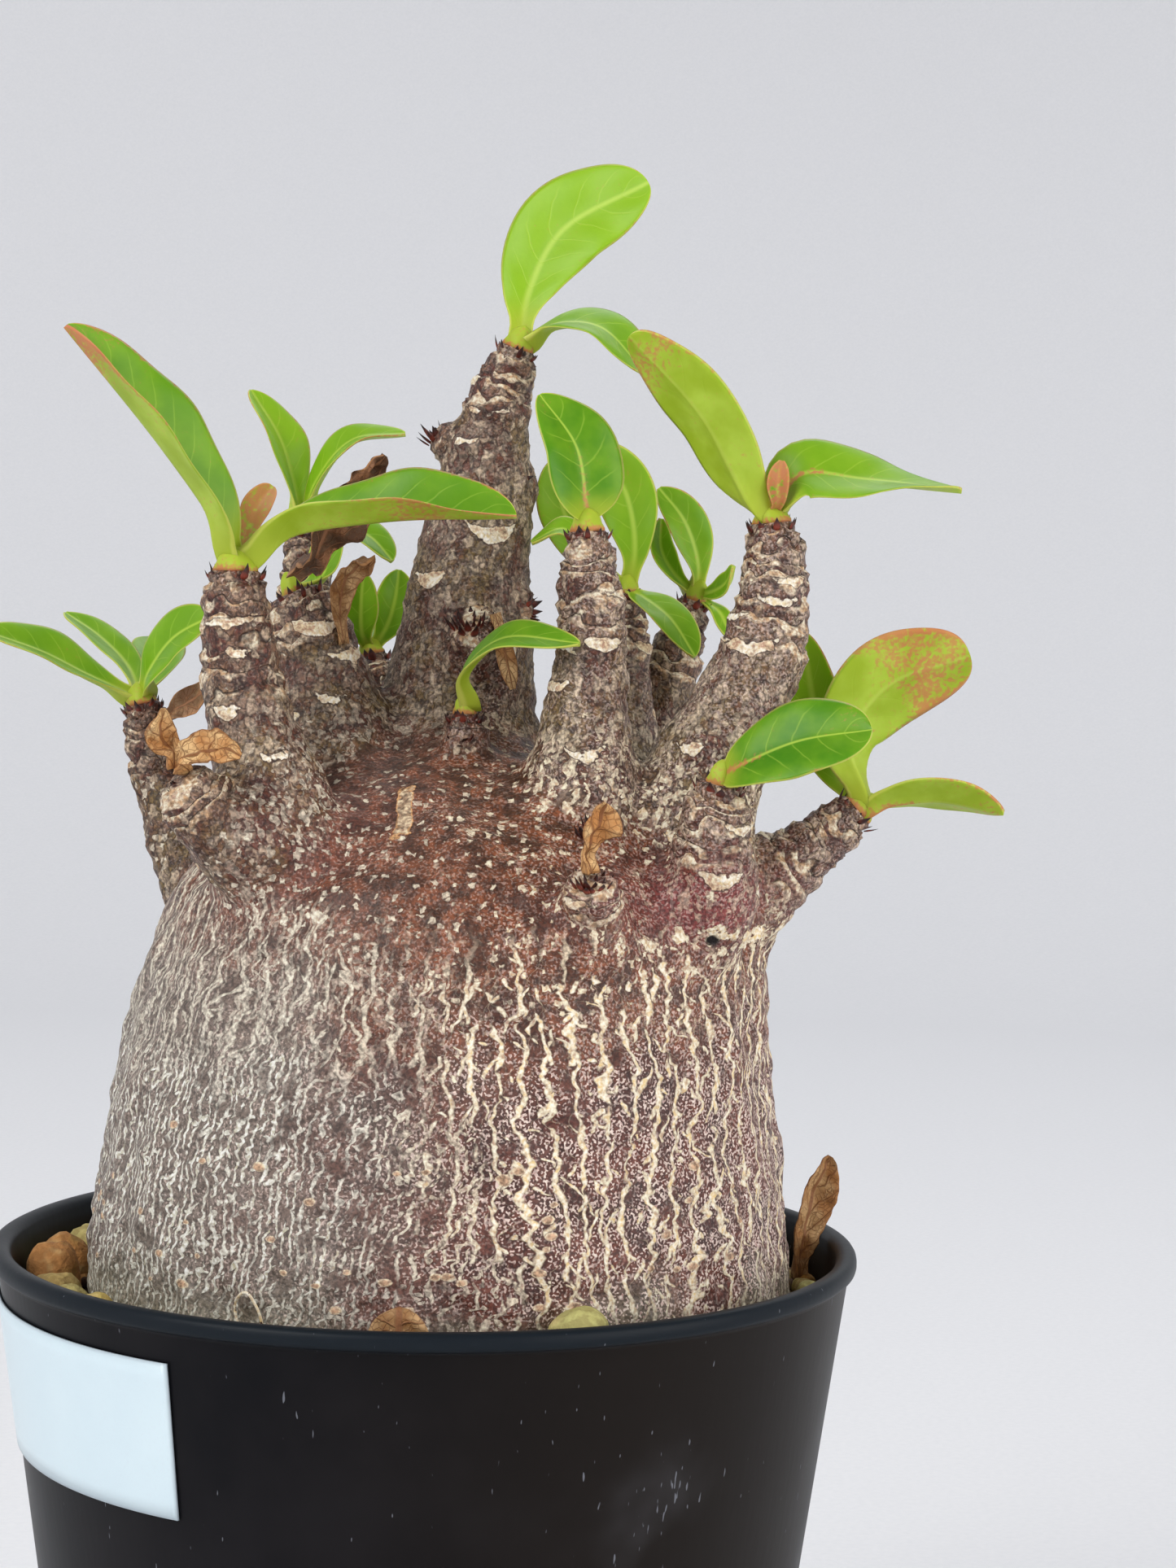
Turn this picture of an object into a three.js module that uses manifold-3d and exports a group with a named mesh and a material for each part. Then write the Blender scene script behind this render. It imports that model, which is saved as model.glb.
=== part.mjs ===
// A potted adenium: a swollen caudex with a corky skin, its short ringed branches, a few fleshy leaves
// on each branch end, and the plastic nursery pot of gritty mix that it stands in.
// Millimetres, +Z up. The origin is the centre of the pot's underside, and -Y is the front.

import * as THREE from 'three';
import { mergeVertices } from 'three/addons/utils/BufferGeometryUtils.js';
import Module from 'manifold-3d';

const wasm = await Module();
wasm.setup();

const TAU = Math.PI * 2;
const CLEARANCE = 0.3; // between two pieces that touch

const POT = {
  sides: 48,
  height: 95,
  rimRadius: 52.5,
  wallTopRadius: 51.9,
  footRadius: 38.5,
  footRing: 4,
  padRadius: 8,
  wall: 1.8,
  floor: 3.2,
  recess: 1.5,
  bead: 2.2,
  drainCount: 8,
  drainCircle: 26,
  drainRadius: 3,
};

const LABEL = {
  thickness: 0.35,
  gap: 0.15,
  top: 89.4,
  bottom: 71.6,
  firstStep: 23, // steps of the pot's own sides, counted from +X, anticlockwise seen from above
  steps: 9,
};

const MIX = {
  level: 89,
  pocketGap: 0.6,
  grainRadius: 4.2,
  grainSpacing: 2.3, // from one grain to the next along the ring, in grain radii
  bare: [[10, 9], [-90.5, 6]], // where a husk stands instead of grains: angle and half span, in degrees
};

// The caudex from its buried base to the crown of the dome: height, radius, and the centre's x and y.
const CAUDEX = {
  sides: 64,
  base: 48,
  crown: 156,
  rows: [
    [51, 20, 1.5, -1.5],
    [58, 33, 1.7, -1.5],
    [71, 40, 2, -1.5],
    [88, 42.4, 2, -1.5],
    [97, 42, 1.7, -1.5],
    [104, 41.2, 1.7, -1.5],
    [111, 40.2, 1.9, -1.5],
    [118, 39.2, 2.1, -1.5],
    [125, 38, 2.7, -1.5],
    [131, 36.9, 3.3, -1.5],
    [136, 35.4, 3.8, -1.5],
    [140, 33, 3.8, -1.5],
    [144, 29.2, 3.5, -1.5],
    [148, 23.8, 3.2, -1],
    [151.5, 17.5, 3, -0.5],
    [154, 10.5, 3, 0],
    [155.5, 4.5, 3, 0],
  ],
  ribs: 30,
  ribHeight: 0.45,
  ribbed: [90, 142], // the heights between which the ribs show
};

// A branch: the share of its line that lies inside the caudex, how far the scar rings stand out and dip
// as a share of the radius, and the angle between one leaf scar and the next, in radians.
const BRANCH = { buried: 0.2, ridge: 0.09, groove: 0.05, scarTurn: 2.4 };

const LEAF = { thickness: 0.8, petiole: 0.9, stalkShare: 0.1, widest: 0.58, smallWidth: 3.5 };

const COLOURS = {
  plastic: 0x1b1b1f,
  paper: 0xe9eef0,
  grit: 0x9c7a45,
  bark: 0x7a6a5c,
  leaf: 0x5f9a2c,
  dried: 0x9a6238,
};

// Each branch is a list of knots: x, y, z and radius, from inside the caudex to its woody end.
// Each leaf has the points that its midrib passes after it leaves the branch end, half of its width,
// the way its upper face looks at mid length, how far its two halves fold up, and some have the share of
// their length where they are widest and the twist from stalk to tip. Angles are in degrees.
const SHOOTS = [
  {
    name: 'crown',
    sides: 10,
    scars: 3.6,
    knots: [
      [2, 6, 141, 17], [2, 7.5, 150, 12.8], [2, 8, 156, 10.2], [2.5, 8, 162, 9.2], [3, 8, 168, 8.2],
      [3.5, 8, 175, 7.3], [4.5, 8, 183, 6.5], [5.5, 8, 190.5, 5.1], [6.5, 7.5, 196.5, 3.7],
      [7.5, 7, 200, 3], [8.5, 6.5, 203, 2.4],
    ],
    leaves: [
      {
        route: [[10, 9, 211], [14, 11, 219], [24.5, 10, 225.8]],
        width: 6.6, face: [-0.35, -0.9, 0.25], fold: 12,
      },
      {
        route: [[13.5, 5, 207], [19, 3.5, 206.5], [24.5, 2.5, 201]],
        width: 5.5, face: [0.1, -0.4, 0.9], fold: 14,
      },
    ],
  },
  {
    name: 'left_front',
    sides: 9,
    scars: 3.2,
    knots: [
      [-9, -14, 137, 11], [-13, -18.5, 141, 9], [-16, -21, 145, 7], [-18, -20.5, 151, 6.2],
      [-20, -19.5, 156.5, 5.2], [-21.2, -19, 162, 4.4],
      [-22, -19, 167, 3.9], [-22.4, -19, 172, 3.6],
      [-22.4, -19, 174.5, 3.2],
    ],
    leaves: [
      {
        route: [[-24, -21, 181], [-30, -23, 189.5], [-41.2, -25, 202.8]],
        width: 7, face: [0.7, -0.5, 0.55], fold: 36,
      },
      {
        route: [[-17.5, -20, 180], [-5.5, -22, 181.5], [9.5, -22, 182]],
        width: 6, face: [-0.1, -0.3, 0.95], fold: 40,
      },
      {
        route: [[-21, -17.5, 179.5], [-20, -17, 182], [-18.5, -16, 185]],
        width: 1.8, face: [0, -0.9, 0.3], fold: 20,
      },
    ],
  },
  {
    name: 'middle',
    sides: 9,
    scars: 3,
    knots: [
      [16, -11, 137, 13], [17.2, -13, 145, 9.8], [17.7, -14, 150, 7.6],
      [18, -14, 155, 5.8], [18.3, -14, 160.5, 4.7],
      [18.6, -14, 166, 4.1], [18.6, -14, 171, 3.7], [18.3, -14, 175, 3.1], [18, -14, 180, 2.5],
    ],
    leaves: [
      {
        route: [[17.6, -14.5, 185], [16.4, -14, 191], [12, -13, 197]],
        width: 5.4, widest: 0.38, face: [0.45, -0.85, 0.2], fold: 20,
      },
    ],
  },
  {
    name: 'right',
    sides: 9,
    scars: 3.2,
    knots: [
      [23, -9, 134, 13], [27.5, -11, 141, 10.4], [30, -12, 146, 8.2],
      [32, -12, 152, 6.9], [35, -12, 158, 6.1],
      [37, -12, 163, 5.4], [38.7, -12, 167.5, 4.8], [39.6, -12, 172, 4.1],
      [40, -12, 177, 3.5], [39.6, -12, 181.5, 2.8],
    ],
    leaves: [
      {
        route: [[35, -13.5, 188], [30.5, -15, 195.5], [22.5, -15, 204]],
        width: 4.8, face: [0.6, 0.75, 0.3], fold: 12,
      },
      {
        route: [[42.5, -12.5, 188.3], [50, -13, 188], [61.5, -13, 187]],
        width: 5.4, widest: 0.42, twist: -70, face: [0.1, -0.5, 0.85], fold: 14,
      },
      {
        route: [[39.4, -11, 185.5], [39.2, -10.5, 187.5], [39.8, -10.5, 190]],
        width: 1.3, face: [0, -0.9, 0.3], fold: 20,
      },
    ],
  },
  {
    name: 'right_front',
    sides: 8,
    scars: 2.6,
    knots: [
      [28, -18, 133, 8], [31.5, -21, 138, 6.4], [33, -22.5, 142, 5],
      [33, -23.5, 146, 4], [33.2, -24, 149, 3.4],
      [33.5, -24.5, 151.5, 2.8],
    ],
    leaves: [
      {
        route: [[37, -27, 155], [42.8, -30, 158], [50, -32, 159.3]],
        width: 5.4, face: [-0.3, -0.75, 0.6], fold: 12,
      },
    ],
  },
  {
    name: 'far_right',
    sides: 7,
    scars: 2.4,
    knots: [
      [28, -6, 130, 9.6], [34.5, -7.5, 136, 7], [39.3, -8, 139.8, 5],
      [43, -8, 142.6, 3.8], [46, -8, 145, 3.1],
      [49.8, -8, 148.2, 2.5],
    ],
    leaves: [
      {
        route: [[48.5, -4.5, 153], [46, -2.5, 160], [44, -2, 170]],
        width: 4, face: [-0.9, -0.3, 0.2], fold: 14,
      },
      {
        route: [[50.3, -9, 158], [54.6, -9.5, 164.4], [63.3, -10, 167.6]],
        width: 5.8, widest: 0.54, face: [-0.45, 0.8, 0.4], fold: 6,
      },
      {
        route: [[54.2, -10.5, 150.3], [60, -12, 150.9], [67.5, -13, 149.4]],
        width: 4.2, face: [0, -0.15, 1], fold: 26,
      },
    ],
  },
  {
    name: 'far_left',
    sides: 7,
    scars: 4,
    knots: [
      [-20, 10, 125, 11], [-26.5, 13.5, 132, 6.8], [-30.8, 15.5, 138, 4.8],
      [-34, 17, 145, 3.8], [-36.4, 18, 151.5, 3.2],
      [-38, 18, 158, 2.5],
    ],
    leaves: [
      {
        route: [[-44.5, 16.5, 162.5], [-50.5, 15, 165.5], [-57.5, 13, 168]],
        width: 4.6, face: [0.3, -0.4, 0.85], fold: 26,
      },
      {
        route: [[-41, 23, 164], [-45, 26, 167.5], [-50, 29, 170.5]],
        width: 3, face: [0.4, -0.5, 0.8], fold: 20,
      },
      {
        route: [[-37, 14.5, 163.3], [-33.7, 12.5, 167.6], [-28.5, 10, 170.5]],
        width: 4, face: [-0.35, -0.7, 0.6], fold: 16,
      },
      {
        route: [[-38, 27, 163.5], [-38.5, 33, 166], [-40, 39, 167.5]],
        width: 4, face: [0, -0.4, 0.9], fold: 20,
      },
    ],
  },
  {
    name: 'left_stub',
    sides: 8,
    scars: 4,
    knots: [
      [-9, 1, 142, 14], [-12, 1.5, 151, 9.8], [-13.6, 2, 158.5, 7.3],
      [-14.6, 2, 164.5, 5.4], [-16, 2, 169.5, 4.6],
      [-17.2, 2, 172.3, 3.6],
    ],
    leaves: [
      {
        route: [[-14.6, 4.5, 175.5], [-14, 6, 178], [-14, 8, 182]],
        width: 2.8, face: [-0.5, -0.8, 0.3], fold: 20,
      },
    ],
  },
  {
    name: 'left_back',
    sides: 7,
    scars: 5,
    knots: [
      [-12, 18, 135, 11], [-15, 22, 144, 7], [-16.5, 24, 157, 5],
      [-18, 26, 170, 3.5], [-19, 27, 180.5, 2.4],
    ],
    leaves: [
      {
        route: [[-20.2, 28, 187], [-22.3, 29, 193.5], [-26.5, 31, 200]],
        width: 4.4, face: [0.75, -0.5, 0.3], fold: 24,
      },
      {
        route: [[-17.5, 27, 188], [-13, 27, 193.5], [-6, 27, 194.6]],
        width: 3.6, face: [-0.2, -0.4, 0.9], fold: 20,
      },
      {
        route: [[-13.7, 25, 182.5], [-10, 23, 181], [-7, 21, 178]],
        width: 3, face: [0.2, -0.5, 0.8], fold: 16,
      },
    ],
  },
  {
    name: 'back_low',
    sides: 7,
    scars: 4.6,
    knots: [
      [-4, 22, 137, 9], [-6, 26, 148, 5.6], [-8, 28.5, 158, 3.6], [-9.7, 30, 164.5, 2.2],
    ],
    leaves: [
      {
        route: [[-8.2, 30.5, 169.5], [-7.2, 31, 173], [-6.8, 32, 177]],
        width: 2.8, face: [0.2, -1, 0.1], fold: 18,
      },
      {
        route: [[-11.2, 28, 168.5], [-11.3, 26.5, 172], [-11, 25.5, 176.5]],
        width: 2.4, face: [0.2, -1, 0.1], fold: 18,
      },
      {
        route: [[-9.8, 37, 168.5], [-9.6, 44, 170], [-9, 50, 170.5]],
        width: 3.4, face: [0, -0.3, 1], fold: 18,
      },
    ],
  },
  {
    name: 'back_middle',
    sides: 7,
    scars: 4.4,
    knots: [
      [20, 6, 143, 9], [22, 7.5, 151, 5.6], [22.7, 8.5, 158, 3.9],
      [22.9, 9, 166.5, 2.8], [23, 10, 173, 2],
    ],
    leaves: [
      {
        route: [[23.8, 9.5, 180], [22.2, 10.5, 187.5], [17.5, 12, 192.8]],
        width: 4, face: [-0.3, -0.95, 0.1], fold: 14,
      },
      {
        route: [[18.5, 12, 178], [15, 13.5, 184], [13.5, 16, 191]],
        width: 3.8, face: [0.4, -0.9, 0.2], fold: 14,
      },
      {
        route: [[18.8, 6.5, 178.5], [15, 5, 182], [11, 4.5, 180.3]],
        width: 2.6, face: [0, -0.5, 0.85], fold: 14,
      },
      {
        route: [[25.3, 5, 173.6], [28.3, 2, 171.2], [31.2, -0.5, 166.8]],
        width: 3.2, face: [0.2, -0.5, 0.8], fold: 16,
      },
    ],
  },
  {
    name: 'right_back',
    sides: 7,
    scars: 3.6,
    knots: [
      [21, 12, 139, 10], [24.5, 15, 147, 6.6], [26.5, 16.5, 154, 4.6],
      [28, 17.5, 162, 3.6], [30, 18, 168.5, 2.8],
      [31.3, 18, 172.5, 2],
    ],
    leaves: [
      {
        route: [[32, 17.5, 178], [30.2, 17.5, 183.5], [26.8, 18, 187.8]],
        width: 3.2, face: [0.4, -0.85, 0.2], fold: 20,
      },
      {
        route: [[29, 18.5, 177], [27.3, 19, 180], [27.2, 20, 184]],
        width: 2, face: [0.5, -0.8, 0.2], fold: 20,
      },
      {
        route: [[34.2, 15.5, 175], [35.4, 14, 176], [36, 12.5, 178]],
        width: 1.8, face: [-0.3, -0.8, 0.5], fold: 16,
      },
      {
        route: [[34.6, 15.5, 172.4], [35.6, 14.2, 170.5], [36.6, 13, 168.5]],
        width: 1.4, face: [0.3, -0.8, 0.5], fold: 10,
      },
    ],
  },
  {
    name: 'dome',
    sides: 7,
    scars: 1.8,
    knots: [
      [3.6, -7, 151, 4.6], [3.7, -8, 155, 2.9], [3.8, -8, 156.8, 2.5], [3.8, -8, 158.2, 2.1],
    ],
    leaves: [
      {
        route: [[3.4, -11, 164], [8.2, -15.5, 168.5], [17.2, -20.5, 168.2]],
        width: 2.7, face: [-0.2, -0.6, 0.8], fold: 16,
      },
    ],
  },
];

// Stubs and side buds that carry no green leaf, as knots like the branches' own, and the leafless knee
// below the left front branch.
const STUBS = [
  { sides: 9, scars: 2.8, knots: [[-8, -12, 135, 12], [-15, -20, 141, 8.6], [-19.5, -24.5, 144.5, 6.2],
    [-23.2, -26.8, 147.2, 4.4], [-25.5, -28, 149.5, 3.7], [-27.2, -29, 151.6, 2.8]] },
  { sides: 7, scars: 1.8, knots: [[18.5, -28, 134, 6], [19, -32.5, 138.4, 3.6], [19.2, -34.5, 140.4, 2.9],
    [19.2, -35.5, 142, 2.1]] },
  { sides: 7, scars: 1.5, knots: [[4.6, 4, 165, 5], [4.6, -0.5, 168, 3.4], [4, -3, 170.2, 2.6]] },
  { sides: 6, scars: 1.5, knots: [[3, 8, 191.5, 3], [0.4, 8, 192.6, 1.8], [-1, 8, 193.2, 1.2]] },
  { sides: 6, scars: 1.5, knots: [[6.5, 8, 186, 3], [10, 7, 187.5, 1.3]] },
  { sides: 6, scars: 1.5, knots: [[6, 7, 170, 4], [11, 5, 172, 1.4]] },
];

// Tufts of dry bristles that stand on the bark: x, y, z and how many bristles.
const TUFTS = [
  [19.5, -22.5, 147, 9],
  [4, -2.8, 169.8, 6],
  [-0.4, 8, 192.8, 4],
  [-26.8, -28.7, 151, 4],
];

// Dead leaves that still hang on: the midrib's points, half the width, the way the upper face looks
// and the fold. The first point lies just clear of the bark that holds it.
const DRIED = [
  {
    name: 'dried_leaf_left_stub',
    route: [[-17.4, -1.3, 175.4], [-15, -6, 177.4], [-11, -8, 183], [-6.5, -8.5, 190]],
    width: 3.6, face: [0.5, -0.8, -0.4], fold: 34,
  },
  {
    name: 'dried_curl_left_stub',
    route: [[-11.2, -2.4, 167.4], [-11.6, -3.6, 172], [-10.4, -5, 176], [-7.4, -6.6, 176.8]],
    width: 2.2, face: [0.3, -0.7, 0.6], fold: 24,
  },
  {
    name: 'dried_leaf_far_left',
    route: [[-35.4, 16, 157.6], [-33.4, 13.5, 158.4], [-31, 12, 160], [-28, 10.5, 162.5]],
    width: 2, face: [0, -0.8, 0.5], fold: 20,
  },
  {
    name: 'dried_leaf_front_stub',
    route: [[19.2, -35.9, 142.9], [18.8, -36, 145], [19.4, -36.5, 148], [21.2, -37, 150.5]],
    width: 2.4, face: [0.4, -0.9, 0], fold: 34,
  },
  {
    name: 'dried_strip_trunk',
    route: [[7, -4.2, 171.4], [7.8, -4.6, 169], [8.5, -4.7, 166], [9.3, -4.4, 162.4]],
    width: 1.2, face: [0.2, -1, 0], fold: 16,
  },
  {
    name: 'husk_in_pot',
    route: [[46.4, 8, 89], [46.6, 8.2, 94.5], [48.2, 8.5, 100.4], [50, 8.5, 104.5]],
    width: 3.2, face: [0.5, -0.8, 0.2], fold: 38,
  },
];

/** Random numbers from 0 to 1 that are the same on every run for the same seed. */
function seeded(seed) {
  let state = seed >>> 0;
  return () => {
    state = (state + 0x6d2b79f5) >>> 0;
    let mixed = Math.imul(state ^ (state >>> 15), 1 | state);
    mixed = (mixed + Math.imul(mixed ^ (mixed >>> 7), 61 | mixed)) ^ mixed;
    return ((mixed ^ (mixed >>> 14)) >>> 0) / 4294967296;
  };
}

function vector([x, y, z]) {
  return new THREE.Vector3(x, y, z);
}

/** The part of a direction that is square to the tangent, at unit length. */
function squareTo(tangent, direction) {
  return direction.clone().addScaledVector(tangent, -direction.dot(tangent)).normalize();
}

/** The middle of a ring of points. */
function middleOf(ring) {
  return ring.reduce((sum, p) => sum.add(p), new THREE.Vector3()).divideScalar(ring.length);
}

/** An indexed geometry whose triangles are turned to face out. */
function facesOut(points, faces) {
  let volume = 0;
  for (let i = 0; i < faces.length; i += 3) {
    const [a, b, c] = [points[faces[i]], points[faces[i + 1]], points[faces[i + 2]]];
    volume += a.dot(b.clone().cross(c));
  }
  if (volume < 0) {
    faces.reverse();
  }
  const geometry = new THREE.BufferGeometry();
  geometry.setAttribute('position', new THREE.Float32BufferAttribute(points.flatMap((p) => p.toArray()), 3));
  geometry.setIndex(faces);
  return geometry;
}

/**
 * One closed body from rings that have the same number of points, with a pole at each end. The second
 * half of each ring is split as the mirror of the first, so the two faces of a blade crease alike.
 */
function ringBody(rings, firstPole, lastPole) {
  const sides = rings[0].length;
  const points = [firstPole, ...rings.flat(), lastPole];
  const at = (ring, side) => 1 + ring * sides + (side % sides);
  const faces = [];
  for (let side = 0; side < sides; side += 1) {
    const next = side + 1;
    faces.push(0, at(0, next), at(0, side));
    faces.push(points.length - 1, at(rings.length - 1, side), at(rings.length - 1, next));
    for (let ring = 1; ring < rings.length; ring += 1) {
      const below = ring - 1;
      if (side < sides / 2) {
        faces.push(at(below, side), at(below, next), at(ring, next));
        faces.push(at(below, side), at(ring, next), at(ring, side));
      } else {
        faces.push(at(below, side), at(below, next), at(ring, side));
        faces.push(at(below, next), at(ring, next), at(ring, side));
      }
    }
  }
  return facesOut(points, faces);
}

/** A level ring of points; radius may be a number or a function of the angle. */
function levelRing(sides, height, radius, centreX = 0, centreY = 0) {
  return Array.from({ length: sides }, (_, side) => {
    const angle = (side / sides) * TAU;
    const reach = typeof radius === 'function' ? radius(angle) : radius;
    return new THREE.Vector3(centreX + reach * Math.cos(angle), centreY + reach * Math.sin(angle), height);
  });
}

function toManifold(geometry) {
  const plain = geometry.clone();
  plain.deleteAttribute('normal');
  plain.deleteAttribute('uv');
  const merged = mergeVertices(plain, 1e-4);
  return new wasm.Manifold(new wasm.Mesh({
    numProp: 3,
    vertProperties: new Float32Array(merged.attributes.position.array),
    triVerts: new Uint32Array(merged.index.array),
  }));
}

function toGeometry(manifold) {
  const mesh = manifold.getMesh();
  const geometry = new THREE.BufferGeometry();
  geometry.setAttribute('position', new THREE.BufferAttribute(mesh.vertProperties, 3));
  geometry.setIndex(new THREE.BufferAttribute(mesh.triVerts, 1));
  return geometry;
}

function join(geometries) {
  return toGeometry(geometries.map(toManifold).reduce((whole, piece) => whole.add(piece)));
}

const group = new THREE.Group();

function addMesh(name, geometry, color, roughness) {
  const material = new THREE.MeshStandardMaterial({ color, roughness, metalness: 0, flatShading: true });
  const mesh = new THREE.Mesh(geometry, material);
  mesh.name = name;
  group.add(mesh);
}

/** The outer radius of the pot's wall at a height. */
function potOuter(height) {
  return POT.footRadius + (POT.wallTopRadius - POT.footRadius) * (height / POT.height);
}

function potInner(height) {
  return potOuter(height) - POT.wall;
}

/** The pot: a tapered wall with a beaded rim, and a floor raised inside a foot ring and a centre pad. */
function potBody() {
  const beadFoot = POT.height - POT.bead;
  const footInner = POT.footRadius - POT.footRing;
  const outline = [
    [0, 0],
    [POT.padRadius, 0],
    [POT.padRadius + POT.recess, POT.recess],
    [footInner - POT.recess, POT.recess],
    [footInner, 0],
    [POT.footRadius - 0.6, 0],
    [potOuter(1), 1],
    [potOuter(beadFoot), beadFoot],
    [POT.rimRadius, beadFoot + 0.5],
    [POT.rimRadius, POT.height - 0.8],
    [POT.rimRadius - 0.8, POT.height],
    [potInner(POT.height) + 0.6, POT.height],
    [potInner(POT.height), POT.height - 0.8],
    [potInner(POT.floor + 2), POT.floor + 2],
    [potInner(POT.floor) - 1.5, POT.floor],
    [0, POT.floor],
  ];
  const profile = outline.map(([radius, height]) => new THREE.Vector2(radius, height));
  return new THREE.LatheGeometry(profile, POT.sides).rotateX(Math.PI / 2);
}

function drainHole(index) {
  const angle = ((index + 0.5) / POT.drainCount) * TAU;
  const plug = new THREE.CylinderGeometry(POT.drainRadius, POT.drainRadius, POT.floor * 3, 8);
  plug.rotateX(Math.PI / 2);
  plug.translate(POT.drainCircle * Math.cos(angle), POT.drainCircle * Math.sin(angle), POT.floor / 2);
  return plug;
}

function buildPot() {
  let pot = toManifold(potBody());
  for (let index = 0; index < POT.drainCount; index += 1) {
    pot = pot.subtract(toManifold(drainHole(index)));
  }
  addMesh('pot', toGeometry(pot), COLOURS.plastic, 0.45);
}

/** The paper label: a thin plate that is bent with the sides of the pot's wall. */
function buildLabel() {
  const ring = (step) => {
    const angle = ((LABEL.firstStep + step) / POT.sides) * TAU;
    const corner = (height, lift) => new THREE.Vector3(
      (potOuter(height) + lift) * Math.cos(angle),
      (potOuter(height) + lift) * Math.sin(angle),
      height,
    );
    const outside = LABEL.gap + LABEL.thickness;
    return [
      corner(LABEL.bottom, LABEL.gap), corner(LABEL.top, LABEL.gap),
      corner(LABEL.top, outside), corner(LABEL.bottom, outside),
    ];
  };
  const rings = Array.from({ length: LABEL.steps + 1 }, (_, step) => ring(step));
  addMesh('label', ringBody(rings, middleOf(rings[0]), middleOf(rings[LABEL.steps])), COLOURS.paper, 0.5);
}

/** The radius and centre of the bare caudex body at a height, by straight steps between its rows. */
function caudexAt(height) {
  const { rows } = CAUDEX;
  const above = Math.max(1, rows.findIndex((row) => row[0] >= height));
  const [low, high] = [rows[above - 1], rows[above]];
  const share = (height - low[0]) / (high[0] - low[0]);
  const [radius, x, y] = [1, 2, 3].map((i) => low[i] + (high[i] - low[i]) * share);
  return { radius, x, y };
}

/** The low corky ribs, which run up the barrel in wavy lines and fade at the soil and on the dome. */
function ribRelief(angle, height) {
  const { smoothstep } = THREE.MathUtils;
  const [bottom, top] = CAUDEX.ribbed;
  const fade = smoothstep(height, bottom, bottom + 10) * (1 - smoothstep(height, top - 10, top));
  const wander = 1.5 * Math.sin(3 * angle + height / 6) + 1.2 * Math.sin(height / 4.5);
  return (CAUDEX.ribHeight / 2) * fade * Math.sin(CAUDEX.ribs * angle + wander);
}

function caudexBody() {
  const rings = CAUDEX.rows.map(([height, radius, x, y]) => {
    const reach = (angle) => radius + ribRelief(angle, height);
    return levelRing(CAUDEX.sides, height, reach, x, y);
  });
  const [first, last] = [CAUDEX.rows[0], CAUDEX.rows[CAUDEX.rows.length - 1]];
  const foot = new THREE.Vector3(first[2], first[3], CAUDEX.base);
  const crown = new THREE.Vector3(last[2], last[3], CAUDEX.crown);
  return ringBody(rings, foot, crown);
}

/** The centre line of a branch, and where its last knot and direction are. */
function branchLine(knots) {
  const curve = new THREE.CatmullRomCurve3(knots.map(vector));
  return { curve, end: curve.getPointAt(1), direction: curve.getTangentAt(1) };
}

/** A round branch along its knots; leaf scars stand out as rings that tilt a new way each time. */
function branchBody({ knots, sides, scars }) {
  const { curve } = branchLine(knots);
  const ringed = 1 - BRANCH.buried;
  const ringCount = Math.max(3, Math.round((2 * ringed * curve.getLength()) / scars));
  const depth = new THREE.Vector3(0, 1, 0);
  const rings = [];
  for (let i = -1; i <= ringCount; i += 1) {
    const along = i < 0 ? 0 : Math.min(1, BRANCH.buried + (ringed * i) / ringCount);
    const exact = curve.getUtoTmapping(along) * (knots.length - 1);
    const below = Math.min(knots.length - 2, Math.floor(exact));
    const bare = THREE.MathUtils.lerp(knots[below][3], knots[below + 1][3], exact - below);
    const grown = THREE.MathUtils.smoothstep(along, 0.3, 0.55);
    const onScar = i % 2 === 1;
    const radius = bare * (1 + grown * (onScar ? BRANCH.ridge : -BRANCH.groove));
    const tilt = i >= ringCount - 1 ? 0 : BRANCH.ridge * bare * grown * (onScar ? 1 : 0.5);
    const centre = curve.getPointAt(along);
    const tangent = curve.getTangentAt(along);
    const side = squareTo(tangent, depth.clone().cross(tangent));
    const other = tangent.clone().cross(side);
    rings.push(Array.from({ length: sides }, (_, k) => {
      const angle = (k / sides) * TAU;
      return centre.clone()
        .addScaledVector(side, radius * Math.cos(angle))
        .addScaledVector(other, radius * Math.sin(angle))
        .addScaledVector(tangent, tilt * Math.cos(angle - BRANCH.scarTurn * i));
    }));
  }
  return ringBody(rings, curve.getPointAt(0), curve.getPointAt(1));
}

/** A dry bristle or bud scale: a slim three-sided spike. */
function spike(root, tip, radius) {
  const along = tip.clone().sub(root).normalize();
  const upright = Math.abs(along.z) > 0.9;
  const side = squareTo(along, upright ? new THREE.Vector3(1, 0, 0) : new THREE.Vector3(0, 0, 1));
  const other = along.clone().cross(side);
  const ring = Array.from({ length: 3 }, (_, k) => root.clone()
    .addScaledVector(side, radius * Math.cos((k / 3) * TAU))
    .addScaledVector(other, radius * Math.sin((k / 3) * TAU)));
  return ringBody([ring], root.clone().addScaledVector(along, -0.2), tip);
}

/** Spikes that fan out of a point, spread round the way that it looks. */
function tuft(centre, direction, count, length, spread, random) {
  const side = squareTo(direction, new THREE.Vector3(1, 0.3, 0));
  const other = direction.clone().cross(side);
  return Array.from({ length: count }, (_, k) => {
    const angle = ((k + 0.5 * random()) / count) * TAU;
    const out = side.clone().multiplyScalar(Math.cos(angle)).addScaledVector(other, Math.sin(angle));
    const root = centre.clone().addScaledVector(out, spread);
    const reach = length * (0.7 + 0.5 * random());
    const lean = reach * (0.3 + 0.4 * random());
    return spike(root, root.clone().addScaledVector(direction, reach).addScaledVector(out, lean), 0.5);
  });
}

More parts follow.
